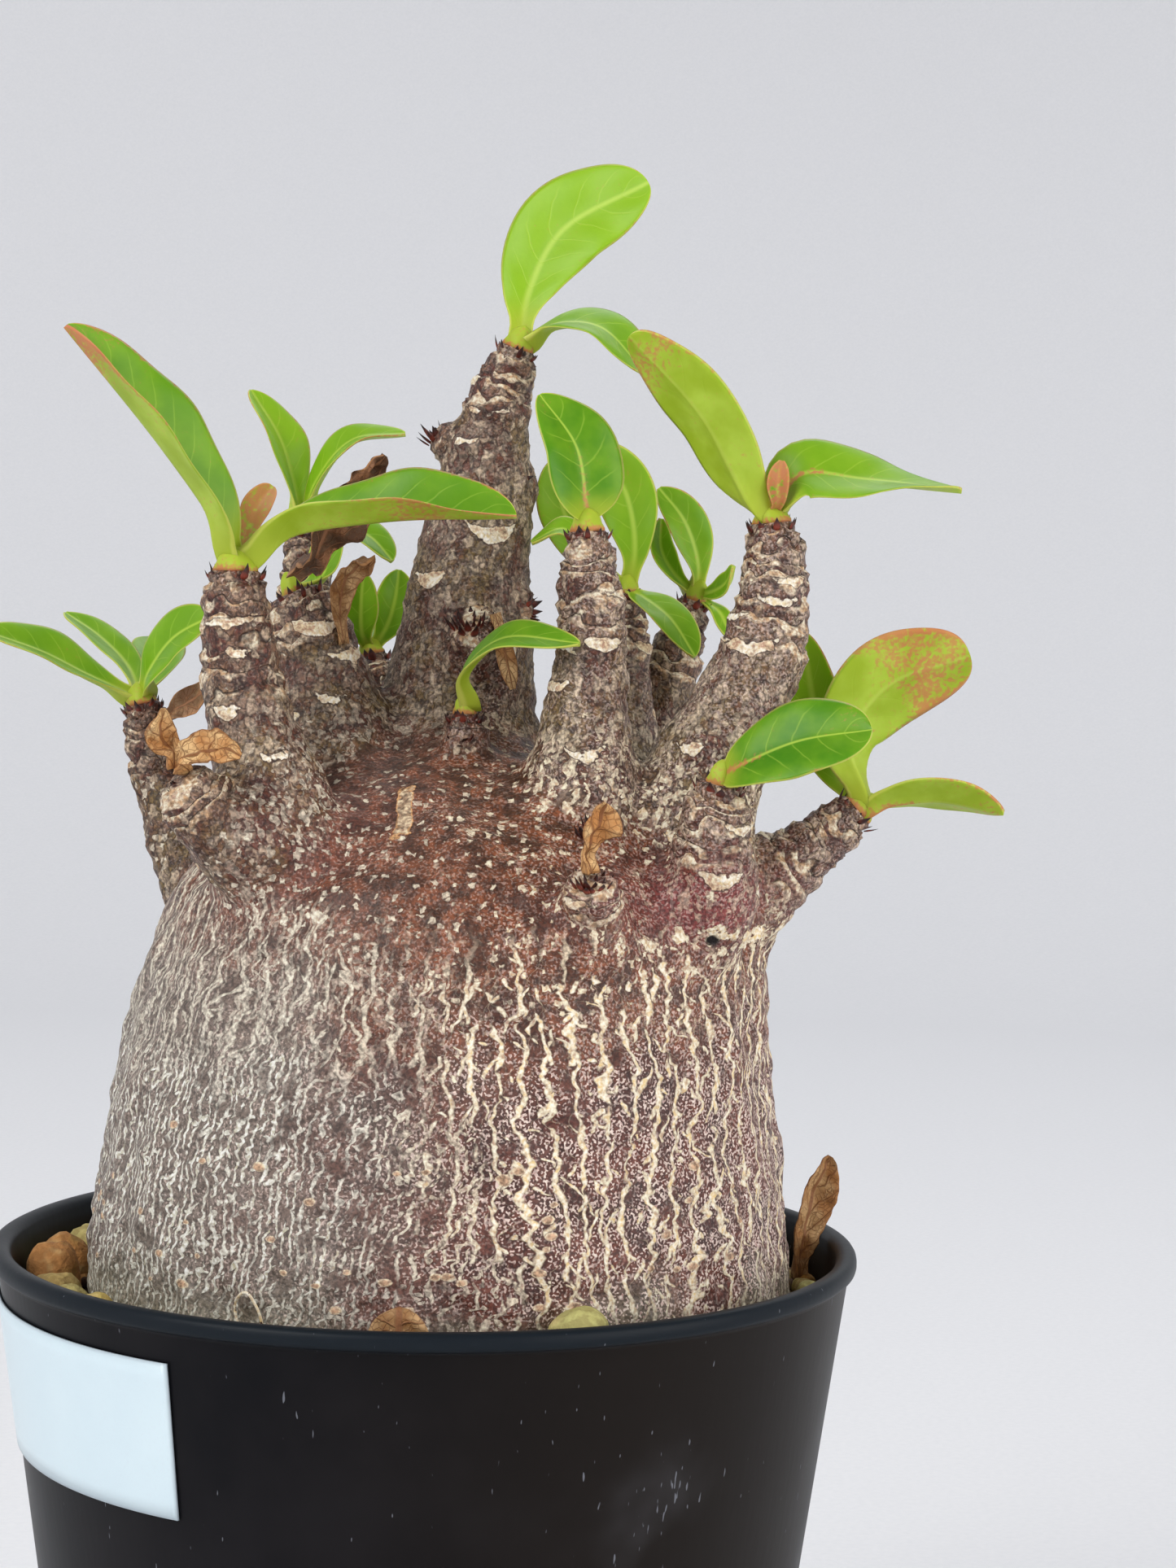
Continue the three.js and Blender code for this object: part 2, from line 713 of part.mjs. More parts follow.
function buildCaudex() {
  const random = seeded(7);
  const bodies = [caudexBody(), ...SHOOTS.map(branchBody), ...STUBS.map(branchBody)];
  for (const [x, y, z, count] of TUFTS) {
    const direction = new THREE.Vector3(0, -0.25, 1).normalize();
    bodies.push(...tuft(new THREE.Vector3(x, y, z), direction, count, 3.4, 0.7, random));
  }
  addMesh('caudex', join(bodies), COLOURS.bark, 0.75);
}

/** Half of a leaf's width at a share of its length: a short stalk, then a blade widest where it is told. */
function leafHalfWidth(share, width, widest) {
  const blade = Math.max(0, (share - LEAF.stalkShare) / (1 - LEAF.stalkShare));
  const bulge = Math.sin(Math.PI * blade ** (Math.log(0.5) / Math.log(widest)));
  return Math.max(LEAF.petiole * (1 - 0.6 * share), width * Math.max(0, bulge) ** 0.8);
}

/** A leaf with its blade folded up along the midrib and twisted about it, from the points of its route. */
function leafBody(route, { width, widest = LEAF.widest, face, fold, twist = 0 }) {
  const curve = new THREE.CatmullRomCurve3(route);
  const middleShare = 0.55;
  const across = curve.getTangentAt(middleShare).cross(vector(face)).normalize();
  const turn = THREE.MathUtils.degToRad(fold);
  const sections = width > LEAF.smallWidth ? 7 : 5;
  const rings = [];
  for (let i = 0; i <= sections; i += 1) {
    const along = i / sections;
    const share = Math.sin((along * Math.PI) / 2) ** 0.9;
    const centre = curve.getPointAt(share);
    const tangent = curve.getTangentAt(share);
    const turned = THREE.MathUtils.degToRad(twist * (share - middleShare));
    const side = squareTo(tangent, across).applyAxisAngle(tangent, turned);
    const normal = side.clone().cross(tangent);
    const half = leafHalfWidth(share, width, widest);
    const margin = (sign) => centre.clone()
      .addScaledVector(side, sign * half * Math.cos(turn))
      .addScaledVector(normal, half * Math.sin(turn));
    const upper = [margin(1), centre, margin(-1)];
    const lower = upper.map((p) => p.clone().addScaledVector(normal, -LEAF.thickness));
    rings.push([...upper, ...lower.reverse()]);
  }
  return ringBody(rings, middleOf(rings[0]), middleOf(rings[sections]));
}

/** The soft growing tip on a branch end: a blunt cone that the stalks and the dry scales stand in. */
function tipBody(end, direction, radius) {
  const side = squareTo(direction, new THREE.Vector3(1, 0.2, 0));
  const other = direction.clone().cross(side);
  const heights = [[CLEARANCE, 0.95], [CLEARANCE + 2.2, 0.8]];
  const rings = heights.map(([height, share]) => Array.from({ length: 8 }, (_, k) => end.clone()
    .addScaledVector(direction, height)
    .addScaledVector(side, radius * share * Math.cos((k / 8) * TAU))
    .addScaledVector(other, radius * share * Math.sin((k / 8) * TAU))));
  const foot = end.clone().addScaledVector(direction, CLEARANCE);
  return ringBody(rings, foot, end.clone().addScaledVector(direction, CLEARANCE + 3.2));
}

function buildShootLeaves({ name, knots, leaves }, index) {
  const random = seeded(100 + index);
  const { end, direction } = branchLine(knots);
  const radius = knots[knots.length - 1][3];
  const root = end.clone().addScaledVector(direction, CLEARANCE + 1.6);
  const bodies = [tipBody(end, direction, radius)];
  for (const leaf of leaves) {
    bodies.push(leafBody([root.clone(), ...leaf.route.map(vector)], leaf));
  }
  bodies.push(...tuft(root, direction, 3, 2, radius * 0.6, random));
  addMesh(`leaves_${name}`, join(bodies), COLOURS.leaf, 0.5);
}

function buildDriedLeaf(leaf) {
  addMesh(leaf.name, leafBody(leaf.route.map(vector), leaf), COLOURS.dried, 0.8);
}

/** The two dead leaves on the left stub, which share one dead bud and so are one piece. */
function buildDeadShoot() {
  const { end, direction } = branchLine(STUBS[0].knots);
  const bud = end.clone().addScaledVector(direction, CLEARANCE + 0.8).add(new THREE.Vector3(0, 0, 0.8));
  const upright = [bud, vector([-27.8, -30, 155]), vector([-29.2, -30.5, 157]), vector([-29, -31, 160])];
  const lying = [bud, vector([-26, -31, 155]), vector([-23.5, -32, 156]), vector([-20, -33, 155])];
  addMesh('dried_leaves_left_stub_end', join([
    leafBody(upright, { width: 1.9, face: [0.3, -0.9, 0], fold: 14 }),
    leafBody(lying, { width: 2, face: [0, -0.8, 0.5], fold: 14 }),
  ]), COLOURS.dried, 0.8);
}

/** A rough lump of mix: a ball of few faces, each corner pushed in or out at random. */
function grain(centre, radius, random) {
  const sides = 5;
  const push = () => radius * (0.86 + 0.26 * random());
  const rings = [-0.45, 0.5].map((level) => levelRing(sides, 0, () => push() * Math.sqrt(1 - level * level))
    .map((p) => new THREE.Vector3(centre.x + p.x, centre.y + p.y, centre.z + level * radius * 0.95)));
  const foot = centre.clone().add(new THREE.Vector3(0, 0, -0.9 * radius));
  return ringBody(rings, foot, centre.clone().add(new THREE.Vector3(0, 0, 0.95 * radius)));
}

/** Coarse grains bedded side by side in the ring of mix between the caudex and the pot's wall. */
function grainRing(rim, random) {
  const { radToDeg, euclideanModulo } = THREE.MathUtils;
  const far = potInner(MIX.level + 2) * Math.cos(Math.PI / POT.sides);
  const grains = [];
  for (let angle = 0, step = 0; angle < TAU - step / 2; angle += step) {
    const [cos, sin] = [Math.cos(angle), Math.sin(angle)];
    const facing = rim.x * cos + rim.y * sin;
    const near = facing + Math.sqrt(facing ** 2 - rim.x ** 2 - rim.y ** 2 + rim.radius ** 2);
    const largest = Math.min(MIX.grainRadius, ((far - near) / 2 - 0.6) / 1.12);
    const radius = largest * (0.82 + 0.18 * random());
    const middle = (near + far) / 2;
    const bedded = MIX.level - 0.7 + radius * (0.1 + 0.65 * random());
    const apart = (bare) => Math.abs(euclideanModulo(radToDeg(angle) - bare + 180, 360) - 180);
    if (MIX.bare.every(([bare, span]) => apart(bare) > span)) {
      grains.push(grain(new THREE.Vector3(middle * cos, middle * sin, bedded), radius, random));
    }
    step = (MIX.grainSpacing * radius) / middle;
  }
  return grains;
}

/** The mix in the pot, with a plain pocket for the caudex and the grains in its top. */
function buildMix() {
  const random = seeded(31);
  const { sides } = POT;
  const outer = (height) => potInner(height) - CLEARANCE;
  const floor = POT.floor + CLEARANCE;
  const rings = [
    levelRing(sides, floor, potInner(POT.floor) - 2.5),
    levelRing(sides, floor + 3, outer(floor + 3)),
    levelRing(sides, MIX.level - 1, outer(MIX.level - 1)),
  ];
  const rim = caudexAt(MIX.level);
  rings.push(levelRing(sides, MIX.level, rim.radius + MIX.pocketGap, rim.x, rim.y));
  const buried = CAUDEX.rows.filter((row) => row[0] < MIX.level).reverse();
  for (const [height, radius, x, y] of buried) {
    rings.push(levelRing(sides, height - 0.1, radius + MIX.pocketGap, x, y));
  }
  const lowest = buried[buried.length - 1];
  const pocketFoot = new THREE.Vector3(lowest[2], lowest[3], CAUDEX.base - 0.5);
  const bodies = [ringBody(rings, new THREE.Vector3(0, 0, floor), pocketFoot)];
  bodies.push(...grainRing(rim, random));
  addMesh('growing_mix', join(bodies), COLOURS.grit, 0.9);
}

/** The flat brown husk that stands on edge in the mix, between the caudex and the front of the rim. */
function buildFrontHusk() {
  const rings = [-0.75, 0, 0.75].map((level) => levelRing(8, 0, Math.sqrt(1 - level * level))
    .map((p) => new THREE.Vector3(3.6 * p.x - 0.5, 1.1 * p.y - 46.9, 92.8 + 3.7 * level + 0.3 * p.x)));
  addMesh('husk_at_rim', ringBody(
    rings,
    new THREE.Vector3(-0.5, -46.9, 88.9),
    new THREE.Vector3(-0.5, -46.9, 96.8),
  ), COLOURS.dried, 0.8);
}

buildPot();
buildLabel();
buildMix();
buildCaudex();
SHOOTS.forEach(buildShootLeaves);
DRIED.forEach(buildDriedLeaf);
buildDeadShoot();
buildFrontHusk();

export default group;
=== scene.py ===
"""Visible surfaces of a potted adenium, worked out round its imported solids.

Lengths in the shape code are millimetres, and MM turns them to metres when a mesh is made. Places and
bump heights in the materials are metres, and the grain of a pattern is millimetres. +Z is up and -Y is the
front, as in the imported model.
"""

import math
from functools import partial

import bpy
import numpy as np
from bpy.props import FloatProperty, FloatVectorProperty, IntProperty, PointerProperty
from mathutils import Matrix, Vector


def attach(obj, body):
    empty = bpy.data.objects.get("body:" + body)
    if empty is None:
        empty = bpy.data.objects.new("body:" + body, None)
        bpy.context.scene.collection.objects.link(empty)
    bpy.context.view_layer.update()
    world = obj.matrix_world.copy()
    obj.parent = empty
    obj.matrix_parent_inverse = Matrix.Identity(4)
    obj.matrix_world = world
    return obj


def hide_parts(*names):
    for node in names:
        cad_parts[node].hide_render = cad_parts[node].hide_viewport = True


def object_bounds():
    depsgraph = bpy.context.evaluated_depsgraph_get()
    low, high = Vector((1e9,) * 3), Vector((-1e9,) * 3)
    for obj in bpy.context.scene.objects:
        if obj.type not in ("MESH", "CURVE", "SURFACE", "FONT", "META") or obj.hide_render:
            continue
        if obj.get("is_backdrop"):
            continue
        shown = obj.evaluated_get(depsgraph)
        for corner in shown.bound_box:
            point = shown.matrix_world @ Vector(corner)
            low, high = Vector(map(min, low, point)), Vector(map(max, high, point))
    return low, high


bl_info = {
    "name": "Potted Adenium",
    "version": (1, 0, 0),
    "blender": (4, 5, 0),
    "location": "View3D > Sidebar > Adenium",
    "description": "Builds a potted adenium: its pot, mix, corky caudex, ringed branches and leaves",
    "category": "Object",
}

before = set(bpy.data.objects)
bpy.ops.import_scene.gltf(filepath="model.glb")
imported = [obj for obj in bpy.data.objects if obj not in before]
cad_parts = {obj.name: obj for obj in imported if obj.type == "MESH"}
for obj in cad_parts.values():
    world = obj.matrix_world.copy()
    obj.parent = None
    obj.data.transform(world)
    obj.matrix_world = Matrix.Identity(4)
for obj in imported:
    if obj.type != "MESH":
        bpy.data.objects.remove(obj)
CAD_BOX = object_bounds()

MM = 0.001
TAU = 2 * math.pi
CLEARANCE = 0.3
SINES = 14  # that a random field is the sum of

# The pot, the label and the mix, as their solids are.
POT_HEIGHT = 95.0
POT_FOOT, POT_WALL_TOP, POT_RIM = 38.5, 51.9, 52.5
POT_WALL, POT_FLOOR = 1.8, 3.2
DRAIN_COUNT, DRAIN_CIRCLE, DRAIN_RADIUS = 8, 26.0, 3.0
LABEL_SPAN = (172.5, 240.0)  # degrees from +X, seen from above
LABEL_BOTTOM, LABEL_TOP = 71.6, 89.4
LABEL_GAP, LABEL_THICKNESS = 0.15, 0.3
MIX_LEVEL = 89.0
GRAIN_RADIUS, GRAIN_SPACING = 4.2, 2.3
BED_POINTS = 180  # points round each ring of the bed under the grains
HUSK_PLACES = ((10.0, 9.0), (-90.5, 6.0))  # angle and half span kept free of grains, in degrees

# The caudex: height, radius, and the centre's x and y.
CAUDEX_ROWS = np.array([
    (51, 20, 1.5, -1.5), (58, 33, 1.7, -1.5), (71, 40, 2, -1.5), (88, 42.4, 2, -1.5),
    (97, 42, 1.7, -1.5), (104, 41.2, 1.7, -1.5), (111, 40.2, 1.9, -1.5), (118, 39.2, 2.1, -1.5),
    (125, 38, 2.7, -1.5), (131, 36.9, 3.3, -1.5), (136, 35.4, 3.8, -1.5), (140, 33, 3.8, -1.5),
    (144, 29.2, 3.5, -1.5), (148, 23.8, 3.2, -1), (151.5, 17.5, 3, -0.5), (154, 10.5, 3, 0),
    (155.5, 4.5, 3, 0), (156, 0, 3, 0),
])
BARREL_TOP = 133.4  # where the barrel's grid hands over to the crown's net
BLEND = 2.4  # how wide the fillet between two limbs is
BALL_SPACING = 0.7  # between the balls that a limb's distance is worked out from
COLLAR_FIRST, COLLAR_GROWTH = 1.15, 0.11  # collar n begins pitch * (1.15 n + 0.11 n^2) from the end
MOST_SCARS = 15  # leaf scars down one limb
NEXT_TURN = math.radians(137.5)  # from one leaf, scar or bud scale to the next, round its shoot
WART_COUNT, WART_ROWS = 120, (95.5, 99.0, 102.5, 106.0, 109.5, 113.5)
WART_SHARES = (0.1, 0.26, 0.26, 0.2, 0.12, 0.06)  # of the warts in each row
BARREL_RADIUS = 41.0  # where the warts are

# Places on the skin: the maroon shoulder (x and height, and its spread), the cream band under it, the crust
# and the red skin of the knee, the healed scrape and the small hole.
SHOULDER, SHOULDER_SPREAD = (31, 139), (11, 4.4)
CREAM_BAND = 134.6
KNEE_CRUST, KNEE_SKIN = (-16, -34, 138.6), (-14, -21, 143)
SCRAPE_PLACE, HOLE_PLACE = (-2.3, -29, 148.5), (33.2, -25, 134.7)

CAUDEX_AXIS = (0.0022, -0.0015)  # metres

# A grain that stands out at the front, and the dry root that loops off the skin.
FRONT_GRAIN, FRONT_GRAIN_RADIUS = (18.8, -43.4, 93.2), 3.5
ROOT_HAIR = [(-15.6, -40.4, 91.5), (-16.2, -40.9, 94.5), (-17.6, -40.9, 96.6), (-18.9, -39.6, 95.2),
             (-18.6, -39.3, 92.8), (-17.2, -40, 91.2)]
ROOT_RADIUS = 0.17
RIM_HUSK = (-0.5, -46.9, 92.8)

# The camera of the photograph, and the studio, in metres and degrees.
CAMERA_PLACE = (0.018597, -0.380, 0.170242)
CAMERA_PITCH, CAMERA_ROLL = 2.902, 1.2  # looks down, and leans to the left
LENS, SENSOR = 71.9, 36.0  # millimetres
FLAT_RADIUS, BEND_RADIUS, SWEEP_HEIGHT = 1000.0, 600.0, 1500.0  # millimetres, of the paper sweep

# Branches: knots of x, y, z and radius, and their leaves as midrib points, half width, facing, fold and
# what differs from leaf_body's plain leaf. The collars are how far from the end they reach, in millimetres,
# and how far apart they lie, where 1 is about 1.3 mm at the end. A cone under 1 makes the green end slimmer.
SHOOTS = {
    "crown": {"collars": (10, 1.3), "knots": [
        (2, 6, 141, 17), (2, 7.5, 150, 12.8), (2, 8, 156, 10.2), (2.5, 8, 162, 9.2), (3, 8, 168, 8.2),
        (3.5, 8, 175, 7.3), (4.5, 8, 183, 6.5), (5.5, 8, 190.5, 5.1), (6.5, 7.5, 196.5, 3.7),
        (7.5, 7, 200, 3), (8.5, 6.5, 203, 2.4)], "leaves": [
        ([(10, 9, 211), (14, 11, 219), (24.5, 10, 225.0)], 6.6, (-0.35, -0.9, 0.25), 12,
         {"tip": 0.2, "shade": 1.0, "blunt": 0.45, "full": 0.7}),
        ([(13.5, 5, 207), (19, 3.5, 206.5), (24.5, 2.5, 201)], 5.5, (0.1, -0.4, 0.9), 14, {"shade": 0.55})]},
    "left_front": {"collars": (17, 1.6), "knots": [
        (-9, -14, 137, 11), (-13, -18.5, 141, 9), (-16, -21, 145, 7), (-18, -20.5, 151, 6.2),
        (-20, -19.5, 156.5, 5.2), (-21.2, -19, 162, 4.4), (-22, -19, 167, 3.9), (-22.4, -19, 172, 3.6),
        (-22.4, -19, 174.5, 3.2)], "leaves": [
        ([(-24, -21, 181), (-30, -23, 189.5), (-41.2, -25, 202.8)], 7, (0.84, -0.3, 0.5), 44,
         {"tip": 1.0, "under": 0.5, "patch": 0.8, "shade": 0.35, "edge": 1.0, "full": 0.62, "widest": 0.52}),
        ([(-17.5, -20, 180), (-5.5, -22, 182.1), (9.8, -22, 182.6)], 6.8, (-0.1, -0.38, 1), 48,
         {"tip": 0.4, "under": 0.68, "patch": 0.68, "shade": 0.3, "edge": 1.0, "twist": 48, "full": 0.62}),
        ([(-21.3, -17.5, 180), (-20.4, -17, 183), (-18.6, -16.4, 185.6)], 1.9, (0, -0.9, 0.3), 24,
         {"flush": 1.0, "shade": 0.9, "blunt": 0.4, "widest": 0.7})]},
    "middle": {"collars": (15, 1.4), "knots": [
        (16, -11, 137, 13), (17.2, -13, 145, 9.8), (17.7, -14, 150, 7.6), (18, -14, 155, 5.8),
        (18.3, -14, 160.5, 4.7), (18.6, -14, 166, 4.1), (18.6, -14, 171, 3.7), (18.3, -14, 175, 3.1),
        (18, -14, 180, 2.5)], "leaves": [
        ([(17.6, -14.5, 185), (16.4, -14, 191), (12, -13, 197)], 5.4, (0.45, -0.85, 0.2), 20,
         {"widest": 0.38, "stalk": 0.9, "shade": 0.12, "full": 0.6})]},
    "right": {"collars": (18, 1.2), "knots": [
        (23, -9, 134, 13), (27.5, -11, 141, 10.4), (30, -12, 146, 8.2), (32, -12, 152, 6.9),
        (35, -12, 158, 6.1), (37, -12, 163, 5.4), (38.7, -12, 167.5, 4.8), (39.6, -12, 172, 4.1),
        (40, -12, 177, 3.5), (39.6, -12, 181.5, 2.8)], "leaves": [
        ([(36, -13.5, 187), (31.2, -15, 195), (22.5, -15, 204)], 4.9, (0.6, 0.75, 0.3), 12,
         {"tip": 0.3, "under": 0.4, "patch": 0.85, "edge": 0.8, "blunt": 0.42, "full": 0.42,
          "widest": 0.52}),
        ([(42.5, -12.5, 188.3), (50, -13, 188), (61.5, -13, 187)], 5.6, (0.1, -0.5, 0.85), 14,
         {"widest": 0.42, "twist": -70, "stalk": 1.1, "shade": 0.6, "blunt": 0.42, "full": 0.55}),
        ([(40, -14.4, 185), (39.9, -15.2, 187.2), (40.3, -15, 189.8)], 1.4, (0, -0.9, 0.3), 20,
         {"flush": 1.1, "widest": 0.66})]},
    "right_front": {"collars": (9, 1.1), "cone": 0.6, "knots": [
        (28, -18, 133, 8), (31.5, -21, 138, 6.4), (33, -22.5, 142, 5), (33, -23.5, 146, 4),
        (33.2, -24, 149, 3.4), (33.5, -24.5, 151.5, 2.8)], "leaves": [
        ([(35.2, -27.6, 154.6), (42, -30, 157.8), (50, -32, 159.3)], 5.4, (-0.3, -0.75, 0.6), 12,
         {"stalk": 1.0, "shade": 0.05, "blunt": 0.45, "full": 0.42})]},
    "far_right": {"collars": (14, 1.1), "knots": [
        (28, -6, 130, 9.6), (34.5, -7.5, 136, 7), (39.3, -8, 139.8, 5), (43, -8, 142.6, 3.8),
        (46, -8, 145, 3.1), (49.8, -8, 148.2, 2.5)], "leaves": [
        # Painted light: this leaf's shade of 1.3 paints it brighter, for light that it misses behind the
        # others.
        ([(48.5, -4.5, 153), (46, -2.5, 160), (44, -2, 170)], 4, (-0.55, -0.8, 0.1), 14,
         {"tip": 0.3, "under": 0.9, "edge": 1.3, "shade": 1.3}),
        ([(49.4, -9, 157.5), (53.6, -9.5, 164), (63.3, -10, 167.8)], 5.8, (-0.2, 0.95, 0.2), 6,
         {"widest": 0.6, "tip": 0.5, "under": 0.7, "patch": 0.75, "edge": 1.2, "blunt": 0.36, "full": 0.6}),
        ([(54.2, -10.5, 150.3), (60, -12, 150.9), (67.5, -13, 149.4)], 4.2, (0.1, 0.5, 0.85), 16,
         {"tip": 0.6, "under": 0.3, "edge": 1.0, "stalk": 1.0, "full": 0.6})]},
    "far_left": {"collars": (9, 1.2), "knots": [
        (-20, 10, 125, 11), (-26.5, 13.5, 132, 6.8), (-30.8, 15.5, 138, 4.8), (-34, 17, 145, 3.8),
        (-36.4, 18, 151.5, 3.2), (-38, 18, 158, 2.5)], "leaves": [
        ([(-44.5, 16.5, 162.5), (-50.5, 15, 165.5), (-57.5, 13, 168)], 4.6, (0.3, -0.4, 0.85), 26, {}),
        ([(-41, 23, 164), (-45, 26, 167.5), (-50, 29, 170.5)], 3, (0.4, -0.5, 0.8), 20, {}),
        ([(-37, 14.5, 163.3), (-33.7, 12.5, 167.6), (-28.5, 10, 170.5)], 4, (-0.35, -0.7, 0.6), 16, {}),
        ([(-38, 27, 163.5), (-38.5, 33, 166), (-40, 39, 167.5)], 4, (0, -0.4, 0.9), 20, {})]},
    "left_stub": {"collars": (7, 1.6), "knots": [
        (-9, 1, 142, 14), (-12, 1.5, 151, 9.8), (-13.6, 2, 158.5, 7.3), (-14.6, 2, 164.5, 5.4),
        (-16, 2, 169.5, 4.6), (-17.2, 2, 172.3, 3.6)], "leaves": [
        ([(-14.6, 4.5, 175.5), (-14, 6, 178), (-14, 8, 182)], 2.8, (-0.5, -0.8, 0.3), 20, {})]},
    "left_back": {"collars": (9, 1.3), "knots": [
        (-12, 18, 135, 11), (-15, 22, 144, 7), (-16.5, 24, 157, 5), (-18, 26, 170, 3.5),
        (-19, 27, 180.5, 2.4)], "leaves": [
        ([(-20.2, 28, 187), (-22.3, 29, 193.5), (-26.5, 31, 200)], 4.4, (0.75, -0.5, 0.3), 24,
         {"shade": 0.9, "edge": 0.9}),
        ([(-17.5, 27, 188), (-13, 27, 193.5), (-6, 27, 194.6)], 3.6, (-0.2, -0.4, 0.9), 20,
         {"shade": 0.7, "edge": 0.9}),
        ([(-13.7, 25, 182.5), (-10, 23, 181), (-7, 21, 178)], 3, (0.2, -0.5, 0.8), 16, {})]},
    "back_low": {"collars": (8, 1.1), "knots": [
        (-4, 22, 137, 9), (-6, 26, 148, 5.6), (-8, 28.5, 158, 3.6), (-9.7, 30, 164.5, 2.2)], "leaves": [
        ([(-8.2, 30.5, 169.5), (-7.2, 31, 173), (-6.8, 32, 177)], 2.8, (0.2, -1, 0.1), 18, {}),
        ([(-11.2, 28, 168.5), (-11.3, 26.5, 172), (-11, 25.5, 176.5)], 2.4, (0.2, -1, 0.1), 18, {}),
        ([(-9.8, 37, 168.5), (-9.6, 44, 170), (-9, 50, 170.5)], 3.4, (0, -0.3, 1), 18, {})]},
    "back_middle": {"collars": (9, 1.2), "knots": [
        (20, 6, 143, 9), (22, 7.5, 151, 5.6), (22.7, 8.5, 158, 3.9), (22.9, 9, 166.5, 2.8),
        (23, 10, 173, 2)], "leaves": [
        ([(23.8, 9.5, 180), (22.2, 10.5, 187.5), (17.5, 12, 192.8)], 4, (-0.3, -0.95, 0.1), 14,
         {"shade": 0.7}),
        ([(18.5, 12, 178), (15, 13.5, 184), (13.5, 16, 191)], 3.8, (0.4, -0.9, 0.2), 14, {"shade": 0.7}),
        ([(18.8, 6.5, 178.5), (15, 5, 182), (11, 4.5, 180.3)], 2.6, (0, -0.5, 0.85), 14, {}),
        ([(25.3, 5, 173.6), (28.3, 2, 171.2), (31.2, -0.5, 166.8)], 3.2, (0.2, -0.5, 0.8), 16,
         {"edge": 0.8})]},
    "right_back": {"collars": (12, 1.3), "knots": [
        (21, 12, 139, 10), (24.5, 15, 147, 6.6), (26.5, 16.5, 154, 4.6), (28, 17.5, 162, 3.6),
        (30, 18, 168.5, 2.8), (31.3, 18, 172.5, 2)], "leaves": [
        ([(32, 17.5, 178), (30.2, 17.5, 183.5), (26.8, 18, 187.8)], 3.2, (0.4, -0.85, 0.2), 20,
         {"edge": 1.0}),
        ([(29, 18.5, 177), (27.3, 19, 180), (27.2, 20, 184)], 2, (0.5, -0.8, 0.2), 20, {"tip": 0.8}),
        ([(34.2, 15.5, 175), (35.4, 14, 176), (36, 12.5, 178)], 1.8, (-0.3, -0.8, 0.5), 16, {"tip": 0.5}),
        ([(34.6, 15.5, 172.4), (35.6, 14.2, 170.5), (36.6, 13, 168.5)], 1.4, (0.3, -0.8, 0.5), 10, {})]},
    "dome": {"collars": (4, 0.8), "knots": [
        (3.6, -7, 151, 4.6), (3.7, -8, 155, 2.9), (3.8, -8, 156.8, 2.5), (3.8, -8, 158.2, 2.1)], "leaves": [
        ([(3.4, -11, 164), (8.2, -15.5, 168.5), (17.2, -20.5, 168.2)], 2.7, (-0.2, -0.6, 0.8), 16,
         {"tip": 0.1, "shade": 0.3})]},
}

# Stubs and side buds without green leaves. The first is the leafless knee at the left front.
STUBS = [
    [(-8, -12, 135, 12), (-15, -20, 141, 8.6), (-19.5, -24.5, 144.5, 6.2), (-23.2, -26.8, 147.2, 4.4),
     (-25.5, -28, 149.5, 3.7), (-27.2, -29, 151.6, 2.8)],
    [(18.5, -28, 134, 6), (19, -32.5, 138.4, 3.6), (19.2, -34.5, 140.4, 2.9), (19.2, -35.5, 142, 2.1)],
    [(4.6, 4, 165, 5), (4.6, -0.5, 168, 3.4), (4, -3, 170.2, 2.6)],
    [(3, 8, 191.5, 3), (0.4, 8, 192.6, 1.8), (-1, 8, 193.2, 1.2)],
    [(6.5, 8, 186, 3), (10, 7, 187.5, 1.3)],
    [(6, 7, 170, 4), (11, 5, 172, 1.4)],
]
STUB_COLLARS = [(6, 1.2), (4, 0.8), (3, 1), (2, 1), (2, 1), (2, 1)]

# Tufts of dry bud scales: x, y, z, the way they point, how many and how long.
TUFTS = [
    ((19.5, -22.5, 146.6), (0, -0.3, 1), 26, 3.2),
    ((4, -3, 169.8), (-0.1, -0.5, 1), 24, 2.6),
    ((-0.8, 8, 192.9), (-0.5, -0.2, 1), 10, 2.8),
    ((-26.9, -28.8, 151), (-0.6, -0.4, 1), 8, 2),
    ((10, 7, 187.5), (1, -0.1, 0.3), 8, 2.2),
    ((11, 5, 172), (1, -0.2, 0.3), 8, 2.2),
    ((19.2, -35.6, 141.8), (0, -0.4, 1), 22, 1.7),
    ((3.6, -9.4, 157), (-0.3, -1, 0.6), 8, 1.8),
]

# Old leaf scars seen from the front: x, y, z of the middle of the upper edge, half width and depth.
OLD_SCARS = [
    (-22.5, -24, 160.4, 2.2, 1.9), (-17.1, -26, 155.3, 2.0, 1.8), (-21.4, -23, 167, 1.9, 1.5),
    (18, -21, 156.5, 2.7, 2.3), (19.8, -18.5, 168.9, 2.6, 1.9), (14.8, -18, 163.9, 1.8, 1.5),
    (37.2, -17.5, 169.3, 3.6, 2.2), (30.5, -21, 157.6, 2.2, 2.4), (40.2, -17, 174.1, 2.6, 1.5),
    (33.8, -27, 142.8, 2.6, 2.0), (6.2, 0.5, 182.7, 3.2, 3.1), (5.8, 3, 196.6, 2.6, 1.4),
    (-14.6, -3, 170.2, 3.2, 2.2), (-1, 0, 176.6, 2.2, 2.4), (-12.4, -5, 161.5, 2.2, 1.6),
]

